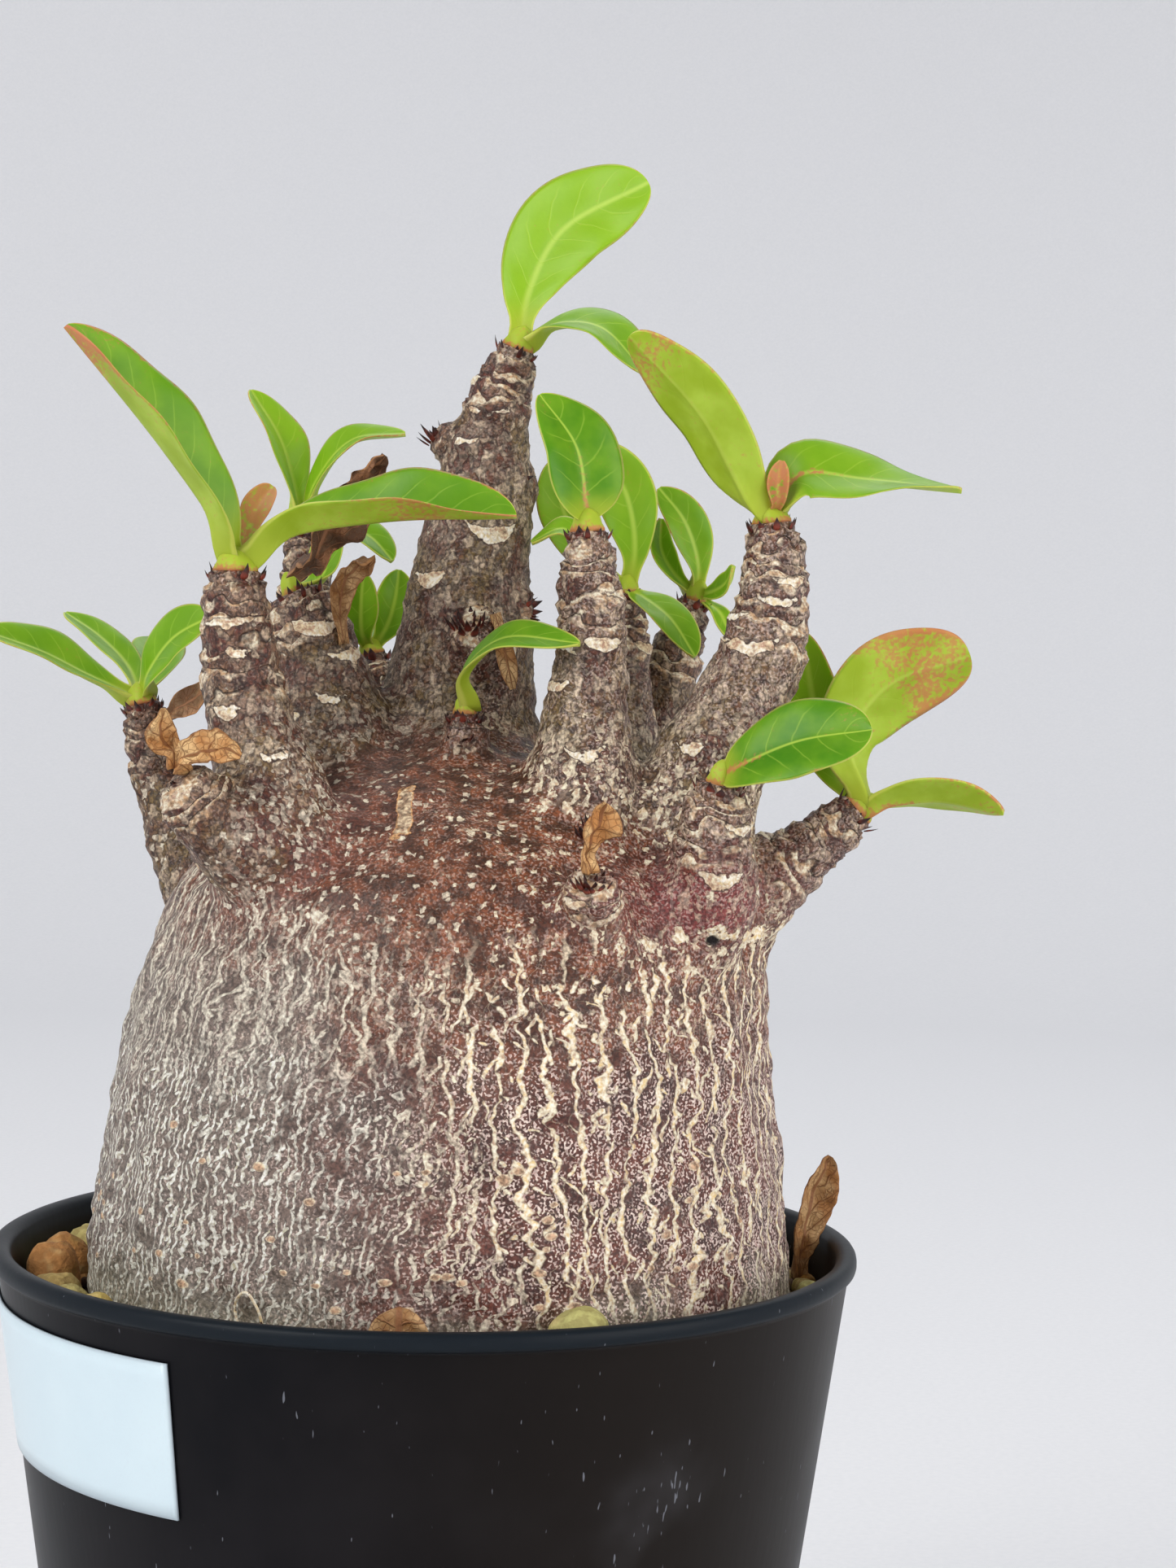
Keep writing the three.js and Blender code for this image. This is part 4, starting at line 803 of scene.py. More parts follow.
def leaf_body(route, width, face, fold, widest=0.58, full=0.78, blunt=0.55, twist=0.0, tip=0.12, under=0.25,
              patch=0.7, edge=0.45, stalk=0.4, shade=0.5, flush=0.0, crumple=0.0, seed=1, sections=52,
              half_count=11):
    """A leaf on a grid of share along its midrib and place across it. Half of its width is a stalk's or
    width * sin(pi * blade^p)^e, which is widest at the given share; e goes from full at the stalk's end to
    blunt at the tip. The two halves fold up from the midrib, roll down a little at the margin and wave
    along it. The underside lies below the upper side by a thickness that is greatest at the stalk and the
    midrib."""
    rng = np.random.default_rng(seed)
    share = np.sin(np.linspace(0, 1, sections) * math.pi / 2) ** 0.9
    centre, tangent = curve_at(route, share)
    middle = 0.55
    _, middle_tangent = curve_at(route, [middle])
    reach = unit(np.cross(middle_tangent[0], face))
    side = square_to(tangent, reach)
    turn = np.radians(twist * (share - middle))[:, None]
    side = side * np.cos(turn) + np.cross(tangent, side) * np.sin(turn)
    normal = np.cross(side, tangent)
    blade = np.clip((share - 0.05) / 0.95, 0, 1)
    bulge = np.clip(np.sin(math.pi * blade ** (math.log(0.5) / math.log(widest))), 0, 1)
    bulge = bulge ** (full - (full - blunt) * smoothstep(share, widest - 0.1, widest + 0.3))
    stalk_half = min(1.6, 0.5 + 0.18 * width) * np.sqrt(np.clip(1 - share ** 6, 0, 1)) * (1 - 0.7 * share)
    half = ((width * bulge) ** 4 + stalk_half ** 4 + 0.03) ** 0.25
    length = spline(route)[2][-1]
    over = np.linspace(-1, 1, half_count * 2 - 1)
    v2 = np.concatenate([over, over[-2:0:-1]])[None]
    lower = np.concatenate([0 * over, 0 * over[1:-1] + 1])[None]
    share2, half2 = share[:, None], half[:, None]
    blade2 = smoothstep(share2, 0.06, 0.25)
    angle = math.radians(fold)
    phase = rng.uniform(0, TAU, 2)
    valley = np.sqrt(v2 ** 2 + 0.015) - 0.12
    wave = np.sin(TAU * (1.3 + length / 22) * share2 + np.where(v2 > 0, phase[0], phase[1]))
    rise = half2 * (math.sin(angle) * valley - 0.1 * v2 ** 4 * blade2)
    rise = rise + 0.035 * width * wave * v2 ** 2 * blade2 * bulge[:, None]
    puff = np.cos(math.pi * (share2 * (5 + length / 6) - 1.1 * np.abs(v2))) * (1 - v2 ** 2) * np.abs(v2)
    rise = rise + 0.02 * width * puff * blade2
    rib = np.exp(-(v2 * half2 / 0.55) ** 2)
    thick = 0.22 + (0.3 + 1.1 * (1 - blade2) + 0.5 * (1 - share2) * rib) * (1 - v2 ** 2)
    spread = half2 * v2 * math.cos(angle)
    rise = rise - lower * thick
    points = centre[:, None] + side[:, None] * spread[..., None] + normal[:, None] * rise[..., None]
    if crumple:
        flat = points.reshape(-1, 3)
        push = crumple * (0.8 * waves(flat, 5, seed + 70) + 0.35 * waves(flat, 1.8, seed + 71))
        grown = smoothstep(share2, 0.05, 0.3) * np.ones_like(v2)
        points = points + normal[:, None] * (push.reshape(points.shape[:2]) * grown)[..., None]
    outer = np.abs(v2) ** 14
    red = flush + tip * smoothstep(share2, 0.72, 1.0) * (0.4 + 0.6 * lower + 0.6 * outer)
    red = red + under * lower * (0.25 + np.exp(-((share2 - patch) / 0.14) ** 2)) * blade2
    red = red + edge * outer * smoothstep(share2, 0.2, 0.7)
    red = red + 1.2 * smoothstep(stalk, 0.4, 1.2) * (1 - smoothstep(share2, 0.28, 0.62)) * rib
    return closed_body(
        points, points[0].mean(0), points[-1].mean(0),
        uv=np.stack(np.broadcast_arrays(share2, 0.5 + 0.5 * v2), -1), face_up=1 - lower,
        blush=np.clip(red, 0, 1.4), shade=shade, veins=1.5 + length / 4.2, half_mm=half2)


def tip_bodies(end, direction, radius, leafiest):
    """The soft end of a shoot: a low collar in the bark's young skin on the woody end, and on it a
    yellow-green cone that the leaf bases come out of, as stout as its widest leaf asks. Both are rings
    round the direction of growth."""
    side = square_to(direction[None], np.array([1.0, 0.2, 0]))[0]
    other = np.cross(direction, side)
    turn = round_turn(32)
    ring = np.cos(turn)[:, None] * side + np.sin(turn)[:, None] * other

    def stack(height, reach, slot, **values):
        """Rings at these heights, of these shares of the radius, with small lumps round them."""
        height, reach = np.array(height), radius * np.array(reach)
        up = height[:, None]
        lumps = 1 + 0.06 * np.sin(2 * turn + up * 2.6) + 0.04 * np.sin(5 * turn - up)
        rings = end + direction * up[..., None] + ring * (reach[:, None] * lumps)[..., None]
        foot, top = end + direction * height[0], end + direction * (height[-1] + 0.1)
        return closed_body(rings, foot, top, slot=slot, **values)

    collar = stack([-0.6, -0.5, 0.0, 0.5, 0.9, 1.15, 1.3], [0.8, 0.93, 0.97, 0.95, 0.9, 0.8, 0.6], 1,
                   young=1.0, limb=1.0, collar=1.0, scar=-1.0, wart=-1.0, scrape=-1.0, ring=0.7)
    stout = min(0.8, 0.52 * leafiest / radius)
    rise = np.array([0.9, 1.1, 1.5, 2.1, 2.7, 3.2, 3.6, 3.9])
    cone = stack(rise, stout * np.array([0.85, 1.0, 1.02, 0.9, 0.76, 0.6, 0.4, 0.18]), 0,
                 uv=np.array([[(0.12, 0.75)]]), face_up=0.0, shade=0.5, veins=0.0, half_mm=6.0,
                 blush=(1.3 - 1.1 * smoothstep(rise, 1.0, 2.4))[:, None])
    return [collar, cone]


def scale_body(root, tip, width, out):
    """A dry bud scale: a flat pointed blade that curls out, on rings of eight points. At the share t of
    its length, its half width is width * sin(pi * (0.12 + 0.88 t)^0.7), but never quite nothing."""
    t = np.linspace(0, 1, 6)
    along = tip - root
    bend = np.sin(math.pi * t / 2)[:, None] * out * 0.12 * np.linalg.norm(along)
    centre = root + along * t[:, None] + bend
    tangent = unit(np.gradient(centre, axis=0))
    side = unit(np.cross(tangent, out))
    normal = np.cross(side, tangent)
    half = width * np.clip(np.sin(math.pi * (0.12 + 0.88 * t) ** 0.7), 0.06, 1)
    turn = round_turn(8)
    rings = (centre[:, None, :] + side[:, None, :] * (half[:, None] * np.cos(turn))[..., None]
             + normal[:, None, :] * (0.3 * half[:, None] * np.sin(turn) + 0.05)[..., None])
    return closed_body(rings, root, tip + bend[-1], tone=t[:, None])


def tuft(centre, direction, count, length, radius, rng):
    """Bud scales round a point, each NEXT_TURN on from the last, the outer ones lower and leaning more."""
    direction = unit(np.array(direction, float))
    side = square_to(direction[None], np.array([1.0, 0.3, 0]))[0]
    other = np.cross(direction, side)
    bodies = []
    for n in range(count):
        turn = NEXT_TURN * n + rng.uniform(-0.3, 0.3)
        out = side * math.cos(turn) + other * math.sin(turn)
        share = math.sqrt((n + 0.5) / count)
        root = np.array(centre) + out * radius * share - direction * 0.3
        reach = length * rng.uniform(0.55, 1.05) * (1.1 - 0.35 * share)
        tip = root + direction * reach + out * reach * (0.05 + 0.4 * share)
        bodies.append(scale_body(root, tip, rng.uniform(0.32, 0.6), out))
    return bodies


def shoot_end(knots):
    """The woody end of a branch, and the way it looks there."""
    ends, tangents = curve_at(np.array(knots, float)[:, :3], [1.0])
    return ends[0], tangents[0]


# ------ mix and pot


def lathe(profile, columns):
    """A profile of radius and height turned round Z, closed by a pole at each end on the axis."""
    radius, height = np.asarray(profile, float).T[..., None]
    turn = round_turn(columns)
    rings = np.stack(np.broadcast_arrays(radius * np.cos(turn), radius * np.sin(turn), height), -1)
    return closed_body(rings, (0, 0, height[0, 0]), (0, 0, height[-1, 0]))


def pot_body(columns):
    """The pot's outline turned round Z, its corners rounded by short arcs."""
    wall = [(pot_outer(h), h) for h in (1.4, 20, 45, 70, 88, 92.3)]
    inside = [(pot_inner(h), h) for h in (94.1, 90, 70, 40, 15, 6)]
    profile = [
        (4, 0), (7.8, 0), (8.2, 0.12), (9.3, 1.3), (9.8, 1.5), (12, 1.5), (22, 1.5), (30, 1.5), (32.8, 1.5),
        (33.3, 1.3), (34.2, 0.15), (34.7, 0), (37.3, 0), (38.1, 0.15), (POT_FOOT, 0.6), *wall,
        (pot_outer(92.7) + 0.02, 92.75), (52.15, 92.95), (52.4, 93.15), (POT_RIM, 93.5), (POT_RIM, 94.0),
        (52.42, 94.45), (52.2, 94.8), (51.8, POT_HEIGHT), (51.1, POT_HEIGHT), (50.5, 94.85),
        (pot_inner(POT_HEIGHT) + 0.08, 94.5), *inside, (pot_inner(5), 4.6), (pot_inner(4) - 0.6, 3.6),
        (pot_inner(POT_FLOOR) - 1.6, POT_FLOOR), (30, POT_FLOOR), (22, POT_FLOOR), (8, POT_FLOOR),
    ]
    return lathe(profile, columns)


def drain_bodies():
    """Plugs where the pot's floor is cut through: round drums on a circle."""
    drum = lathe([(DRAIN_RADIUS, -2), (DRAIN_RADIUS, 6)], 40)
    turns = [TAU * (index + 0.5) / DRAIN_COUNT for index in range(DRAIN_COUNT)]
    return [{**drum, "points": drum["points"] + (DRAIN_CIRCLE * math.cos(a), DRAIN_CIRCLE * math.sin(a), 0)}
            for a in turns]


def label_body(columns, rows):
    """A thin film bent round the wall: outer side, then inner side, with round edges between them."""
    turn = np.radians(np.linspace(*LABEL_SPAN, columns))[:, None]
    level = np.linspace(LABEL_BOTTOM, LABEL_TOP, rows)
    height = np.concatenate([level, level[::-1]])[None]
    radius = pot_outer(height) + np.repeat([LABEL_GAP + LABEL_THICKNESS, LABEL_GAP], rows)
    rings = np.stack(np.broadcast_arrays(radius * np.cos(turn), radius * np.sin(turn), height), -1)
    across = np.linspace(0, 1, columns)[:, None]
    up = (height - LABEL_BOTTOM) / (LABEL_TOP - LABEL_BOTTOM)
    return closed_body(rings, rings[0].mean(0), rings[-1].mean(0),
                       uv=np.stack(np.broadcast_arrays(across, up), -1))


def grain_body(centre, radius, seed, tone, rows=14, columns=20, rough=0.1):
    """A rough grain: a ball whose radius is 1 + rough * a slow and a fine random field, flattened a bit."""
    rng = np.random.default_rng(seed)
    tall = np.pi * (np.arange(rows) + 1)[:, None] / (rows + 1)
    turn = round_turn(columns)
    ball = np.stack(np.broadcast_arrays(np.sin(tall) * np.cos(turn), np.sin(tall) * np.sin(turn),
                                        np.cos(tall)), -1)
    flat = np.vstack([ball.reshape(-1, 3), [(0, 0, 1)], [(0, 0, -1)]])
    swell = 1 + rough * (0.75 * waves(flat, 1.7, seed) + 0.3 * waves(flat, 0.6, seed + 1))
    points = centre + flat * swell[:, None] * radius * rng.uniform(0.86, 1.06, 3)
    return closed_body(points[:-2].reshape(rows, columns, 3), points[-2], points[-1], tone=tone)


def mix_bodies(coarse, fine):
    """The bed under the grains, coarse grains side by side in the ring between caudex and wall, fine grit
    strewn between them, and one large grain at the front."""
    skin_radius, x, y = caudex_row(MIX_LEVEL)
    turn = round_turn(BED_POINTS)

    def circle(radius, height, x=0.0, y=0.0):
        """A level ring of points."""
        level = np.full(BED_POINTS, height)
        return np.stack([x + radius * np.cos(turn), y + radius * np.sin(turn), level], -1)

    def skin_at(angle):
        """Distance from the pot's axis to the caudex's skin in one direction."""
        facing = x * math.cos(angle) + y * math.sin(angle)
        return facing + math.sqrt(facing ** 2 - x * x - y * y + skin_radius ** 2)

    def placed(angle, away, height):
        """A point at a distance from the pot's axis."""
        return np.array([away * math.cos(angle), away * math.sin(angle), height])

    outer = pot_inner(MIX_LEVEL - 2) - CLEARANCE
    rings = [circle(pot_inner(POT_FLOOR) - 2.6, POT_FLOOR + CLEARANCE),
             circle(pot_inner(6) - CLEARANCE, 6.5), circle(outer, MIX_LEVEL - 2)]
    wall, skin = circle(outer, 5.0), circle(skin_radius + 0.5, 5.0, x, y)
    for share in np.linspace(0, 1, 9):
        ring = wall + (skin - wall) * share
        ring[:, 2] = MIX_LEVEL - 1.4 + 0.35 * waves(ring, 3.1, 21) + 0.2 * waves(ring, 1.3, 22)
        rings.append(ring)
    for height in (84, 71, 58, 51):
        radius, *middle = caudex_row(height)
        rings.append(circle(radius + 0.6, height - 0.2, *middle))
    bodies = [closed_body(np.array(rings), (0, 0, POT_FLOOR + CLEARANCE), (1.5, -1.5, 50), tone=0.93)]

    rng = np.random.default_rng(31)
    angle, number = 0.0, 0
    far = pot_inner(MIX_LEVEL + 2) - CLEARANCE
    while angle < TAU - 0.05:
        near = skin_at(angle)
        radius = min(coarse, ((far - near) / 2 - 0.35) / 1.05) * rng.uniform(0.84, 1.0)
        away = (near + far) / 2
        apart = [abs((math.degrees(angle) - bare + 180) % 360 - 180) - span for bare, span in HUSK_PLACES]
        if min(apart) > 0:
            centre = placed(angle, away, MIX_LEVEL - 0.6 + radius * rng.uniform(0.15, 0.7))
            bodies.append(grain_body(centre, radius, 500 + number, rng.uniform(0, 0.5), rough=0.09))
        angle += GRAIN_SPACING * radius / away
        number += 1
    for n in range(fine):
        angle = rng.uniform(0, TAU)
        radius = rng.uniform(0.6, 1.6)
        near = skin_at(angle) + radius + 0.4
        away = near + (far - radius - near) * rng.uniform(0, 1)
        centre = placed(angle, away, MIX_LEVEL - 0.9 + rng.uniform(0, 0.8))
        if away > near - 0.2:
            bodies.append(grain_body(centre, radius, 900 + n, rng.uniform(0, 1), 6, 9))
    bodies.append(grain_body(np.array(FRONT_GRAIN), FRONT_GRAIN_RADIUS, 471, 0.27, rough=0.05))
    return bodies


def rim_husk_body():
    """The flat brown husk standing at the front of the rim: an ellipse on edge, dished and crumpled."""
    middle_x, middle_y, middle_z = RIM_HUSK
    turn = round_turn(40)
    tall = np.linspace(-0.96, 0.96, 17)[:, None]
    wide = np.sqrt(1 - tall ** 2)
    across = 3.5 * wide * np.cos(turn)
    rings = np.stack(np.broadcast_arrays(
        middle_x + across, middle_y + 0.75 * wide * np.sin(turn), middle_z + 3.8 * tall), -1)
    push = 0.2 * waves(rings.reshape(-1, 3), 3, 81).reshape(across.shape)
    rings[..., 1] += push - 0.025 * across ** 2
    return closed_body(
        rings, (middle_x, middle_y, 88.95), (middle_x, middle_y, 96.75), face_up=1.0, shade=0.5, veins=4.0,
        blush=0.0, half_mm=3.0, uv=np.stack(np.broadcast_arrays(0.5 + 0.5 * tall, 0.5 + 0.13 * across), -1))


def root_hair_body():
    """A fine dry root that loops off the skin just over the soil: a round tube on a spline."""
    centre, tangent = curve_at(ROOT_HAIR, np.linspace(0, 1, 48))
    side = square_to(tangent, np.array([0.2, 1.0, 0.1]))
    other = np.cross(tangent, side)
    turn = round_turn(8)[:, None]
    rings = centre[:, None] + ROOT_RADIUS * (side[:, None] * np.cos(turn) + other[:, None] * np.sin(turn))
    return closed_body(rings, centre[0], centre[-1], crust=1.0, wart=-1.0, scar=-1.0, scrape=-1.0)


# ------ materials


def rgb(hex_code):
    """A colour's sRGB hex code as linear red, green and blue, and full alpha."""
    parts = [int(hex_code[i:i + 2], 16) / 255 for i in (1, 3, 5)]
    return (*(c / 12.92 if c <= 0.04045 else ((c + 0.055) / 1.055) ** 2.4 for c in parts), 1.0)


# The shader nodes used here, by short names: Blender's name, usual settings, inputs in order, and output.
# Any other name is an operation of the Math node. The Scale of a kind in PATTERNS is given as the size of
# its grain in millimetres, and a colour as an sRGB hex code.
NODES = {
    "place": ("ShaderNodeTexCoord", {}, (), "Object"),
    "axes": ("ShaderNodeSeparateXYZ", {}, (0,), None),
    "stretch": ("ShaderNodeMapping", {}, ("Vector", "Scale"), 0),
    "attribute": ("ShaderNodeAttribute", {}, (), "Fac"),
    "noise": ("ShaderNodeTexNoise", {}, ("Vector", "Scale", "Detail"), "Fac"),
    "cells": ("ShaderNodeTexVoronoi", {}, ("Vector", "Scale", "Randomness"), None),
    "parts": ("ShaderNodeSeparateColor", {}, (0,), None),
    "mix": ("ShaderNodeMix", {"data_type": "RGBA"}, (0, 6, 7), 2),
    "step": ("ShaderNodeMapRange", {"interpolation_type": "SMOOTHSTEP"}, (0, 1, 2, 4), 0),
    "range": ("ShaderNodeMapRange", {}, (0, 3, 4), 0),
    "ramp": ("ShaderNodeValToRGB", {}, (0,), 0),
    "bump": ("ShaderNodeBump", {}, ("Strength", "Distance", "Height"), 0),
    "surface": ("ShaderNodeBsdfPrincipled", {}, ("Base Color", "Roughness", "Normal"), 0),
    "output": ("ShaderNodeOutputMaterial", {}, ("Surface",), None),
}
PATTERNS = ("noise", "cells")


def add_node(tree, kind, *values, more=None, stops=(), gives=None, **settings):
    """Adds one shader node. Its inputs in turn get the values, each a number, a colour, a hex code or
    another node's output; more gives inputs by name, stops a colour ramp, and settings the node's own
    properties. Gives the output that NODES names, or the one asked for."""
    name, usual, inputs, output = NODES.get(kind, ("ShaderNodeMath", {"operation": kind}, (0, 1, 2), 0))
    made = tree.nodes.new(name)
    for key, value in {**usual, **settings}.items():
        setattr(made, key, value)
    for number, (position, colour) in enumerate(stops):
        ramp = made.color_ramp.elements
        element = ramp[number] if number < len(ramp) else ramp.new(1.0)
        element.position, element.color = position, rgb(colour) if isinstance(colour, str) else colour
    for socket, value in [*zip(inputs, values), *(more or {}).items()]:
        if isinstance(value, bpy.types.NodeSocket):
            tree.links.new(value, made.inputs[socket])
            continue
        if isinstance(value, str):
            value = rgb(value)
        elif socket == "Scale" and kind in PATTERNS:
            value = 1000.0 / value
        made.inputs[socket].default_value = value
    chosen = gives or output
    return made.outputs if chosen is None else made.outputs[chosen]


def start_material(name):
    """An empty node material, and the function that adds a node to it."""
    material = bpy.data.materials.new(name)
    material.use_nodes = True
    material.node_tree.nodes.clear()
    return material, partial(add_node, material.node_tree)


def finish_material(material, add, shader):
    """Links the shader to the output, lays the nodes out in columns, and gives the material."""
    add("output", shader)
    for number, item in enumerate(material.node_tree.nodes):
        item.location = (220 * (number // 6), -260 * (number % 6))
    return material


def taller(add, place, times):
    """A place squeezed upwards, so that the noise read there is times as tall as wide."""
    return add("stretch", place, (1.0, 1.0, 1.0 / times))


def faded(add, value, mask, share):
    """A value less this share of itself where the mask is 1."""
    return add("MULTIPLY", value, add("MULTIPLY_ADD", mask, -share, 1.0))


def weighted(add, first, *terms):
    """A value plus each further value's difference from 0.5 times its weight."""
    for value, weight in terms:
        first = add("MULTIPLY_ADD", add("SUBTRACT", value, 0.5), weight, first)
    return first


def stripe(add, phase, half):
    """1 where a phase is within half of the middle between two whole numbers, with a soft edge."""
    off = add("ABSOLUTE", add("SUBTRACT", add("FRACT", phase), 0.5))
    return add("step", add("SUBTRACT", off, half), 0.03, -0.05)


BARK = "grown_adenium_skin_and_cork"


def bark_material(look):
    """Living adenium skin under cork. Between the lines it is thin, taut and a little glossy, with pale
    specks; the cork lines, flakes and leaf scars are matt and stand out."""
    material, add = start_material(BARK)
    place = add("place")
    x, y, z = add("axes", place)
    mask = {name: add("attribute", attribute_name=name) for name in (
        "wart", "barrel", "fine", "pale", "maroon", "crust", "green", "scar", "young", "limb", "collar",
        "ring", "scrape", "hole")}
    mottle = add("noise", place, 6.0, 3.0)
    patch = add("noise", place, 2.6, 4.0)
    grit = add("noise", place, 0.9)
    specks = add("noise", place, 0.3, 0.0)
    bent = add("noise", place, 0.90909, 1.0, gives="Color")
    bend = add("mix", 0.0011, place, bent, blend_type="ADD")

    # Skin between the cork: red brown at the right, maroon on the shoulder, and grey brown at the left,
    # where it is paler partly as painted skylight.
    brown = add("mix", add("step", mottle, 0.35, 0.65), look.skin_dark, look.skin_red)
    left = add("mix", patch, "#4f4038", "#867a70")
    ground = add("mix", mask["pale"], brown, left)
    rim_of_dome = add("MULTIPLY_ADD", add("MINIMUM", x, 0.0), 0.32, z)
    above = add("step", weighted(add, rim_of_dome, (mottle, 0.02)), 0.115, 0.132)
    above = faded(add, above, mask["pale"], 0.6)
    dome = add("mix", add("step", patch, 0.38, 0.62), "#41220f", "#784226")
    ground = add("mix", add("MULTIPLY", above, 0.9), ground, dome)

    # Limbs: olive and grey low down, red brown near the tip.
    old = add("mix", add("step", mottle, 0.42, 0.6), "#583123", "#6f5a35")
    old = add("mix", add("step", patch, 0.48, 0.66, 0.4), old, "#8d7763")
    fresh = add("mix", add("step", patch, 0.42, 0.6), "#552a1f", "#7b5d49")
    limb = add("mix", mask["young"], old, fresh)
    tall = add("stretch", bend, (1.0, 1.0, 0.6))
    plate = add("parts", add("cells", tall, 1.0)["Color"])[0]
    gap = add("cells", tall, 1.0, feature="DISTANCE_TO_EDGE")["Distance"]
    crack = add("MULTIPLY", add("step", gap, 0.15, 0.03), mask["limb"])
    limb = add("mix", add("step", plate, 0.5, 1.0, 0.75), limb, "#bba78f")
    limb = add("mix", add("MULTIPLY", crack, 0.6), limb, "#2c1914")
    pores = add("noise", taller(add, place, 0.8), 1.1)
    limb = add("mix", add("step", pores, 0.52, 0.64, 0.7), limb, "#2c1915")
    ground = add("mix", add("MULTIPLY", mask["limb"], 0.95), ground, limb)
    ground = add("mix", mask["maroon"], ground, add("mix", mottle, "#54201f", "#84403c"))
    low = add("mix", patch, "#74725f", "#9c9a88")
    ground = add("mix", add("MULTIPLY", mask["green"], 0.75), ground, low)
    closer = add("MULTIPLY_ADD", x, 1.6, specks)
    dust = add("MULTIPLY", add("step", closer, 0.55, 0.63), add("step", patch, 0.3, 0.55, 0.9))
    dust = faded(add, dust, add("MAXIMUM", mask["limb"], above), 0.65)
    dust = faded(add, dust, mask["fine"], 0.55)
    ground = add("mix", add("MULTIPLY", dust, 0.85), ground, "#e2cbc0")

    # Cork lines are where a phase that grows round the barrel is near a whole number and a half. Noise that
    # changes slowly round the barrel and quickly up it makes them zigzag at one width, and other noise
    # cuts them into lengths. 80 upright lines, 78 leaning ones and 70 twigs cross at the right and higher
    # up, and a fine web of 220 short strokes with 96 cross links lies everywhere else.
    from_axis = [add("SUBTRACT", a, middle) for a, middle in zip((x, y), CAUDEX_AXIS)]
    turn = add("DIVIDE", add("ARCTAN2", from_axis[1], from_axis[0]), TAU)
    wander = add("noise", taller(add, place, 1.5), 14.0, 1.0)
    zigzag = add("noise", taller(add, place, 0.4), 6.5, 1.0)
    frayed = add("noise", taller(add, place, 0.45), 2.0, 1.0)
    lengths = add("noise", taller(add, place, 2.6), 3.0, 1.0)
    low_down = add("SUBTRACT", 1.0, add("step", weighted(add, rim_of_dome, (mottle, 0.012)), 0.119, 0.139))

    def family(count, climb, bends, cut, low, high, half):
        """Strokes of one family: how many go round, how far they climb, and what bends and cuts them."""
        phase = add("MULTIPLY_ADD", z, climb, add("MULTIPLY", turn, count))
        width = add("MULTIPLY", add("step", cut, low, high), half)
        return stripe(add, weighted(add, phase, *bends), width)

    upright = family(80.0, 0.0, ((wander, 3.0), (zigzag, 1.25), (frayed, 0.36)),
                     add("MULTIPLY_ADD", low_down, 0.16, lengths), 0.48, 0.58, 0.115)
    leaning_lengths = add("noise", taller(add, place, 1.8), 2.4, 0.0)
    leaning = family(78.0, -190.0, ((wander, 3.0), (zigzag, 1.2), (frayed, 0.4)),
                     add("MULTIPLY_ADD", mask["pale"], 0.06, leaning_lengths), 0.53, 0.6, 0.105)
    twigs = family(70.0, 300.0, ((wander, 4.0), (zigzag, 1.6), (frayed, 0.5)), add("noise", place, 1.7, 0.0),
                   0.58, 0.66, 0.1)
    wide = add("MAXIMUM", add("MAXIMUM", upright, leaning), twigs)
    short = add("noise", taller(add, place, 2.4), 1.3, 1.0)
    web = family(220.0, -110.0, ((wander, 6.0), (zigzag, 1.5), (frayed, 1.2)),
                 add("MULTIPLY_ADD", mask["pale"], 0.11, short), 0.46, 0.58, 0.19)
    links = family(96.0, -420.0, ((wander, 4.0), (frayed, 1.2)), add("noise", place, 1.1, 0.0), 0.5, 0.6,
                   0.17)
    web = add("MULTIPLY", add("MAXIMUM", web, links), add("step", patch, 0.3, 0.5))
    higher = add("step", weighted(add, z, (mottle, 0.02)), 0.1165, 0.1255)
    higher = faded(add, higher, mask["pale"], 0.35)
    web = faded(add, web, higher, 0.8)
    fine = add("step", weighted(add, mask["fine"], (patch, 1.1)), 0.34, 0.56)
    distinct = add("MAXIMUM", add("SUBTRACT", 1.0, fine), higher)
    cork = add("MAXIMUM", add("MULTIPLY", wide, distinct), add("MULTIPLY", web, add("MULTIPLY", fine, 0.9)))
    cork = add("MULTIPLY", cork, mask["barrel"])
    cork = add("MULTIPLY", cork, add("step", low_down, 0.0, 0.3))
    cork = faded(add, cork, mask["green"], 0.3)

    # Flakes of cork that stay apart on the dome, and lie closer round the limbs.
    flakes = []
    for size, limit in ((1.4, 0.3), (0.85, 0.29)):
        cell = add("cells", bend, size, 0.8, distance="CHEBYCHEV")
        chance = add("parts", cell["Color"])[0]
        reach = add("MULTIPLY_ADD", chance, 0.14, limit - 0.14)
        flakes.append(add("step", add("SUBTRACT", cell["Distance"], reach), 0.02, -0.06))
    near_limbs = add("step", add("ADD", mask["limb"], patch), 0.55, 0.75)
    near_limbs = add("MULTIPLY", near_limbs, add("step", x, -0.03, -0.006))
    rice = add("step", add("noise", taller(add, bend, 2.0), 0.9, 0.0), 0.6, 0.64)
    flake = add("MAXIMUM", flakes[0], add("MULTIPLY", add("MAXIMUM", flakes[1], rice), near_limbs))
    flake = add("MULTIPLY", flake, add("step", weighted(add, rim_of_dome, (mottle, 0.01)), 0.122, 0.131))
    flake = faded(add, flake, mask["young"], 0.9)
    flake = add("MULTIPLY", flake, add("step", mask["collar"], 0.7, 0.2))
    flake = faded(add, flake, add("step", mask["maroon"], 0.15, 0.75), 0.65)
    smoother = add("step", weighted(add, z, (mottle, 0.01)), 0.148, 0.163, 0.8)
    flake = add("MULTIPLY", flake, add("SUBTRACT", 1.0, smoother))

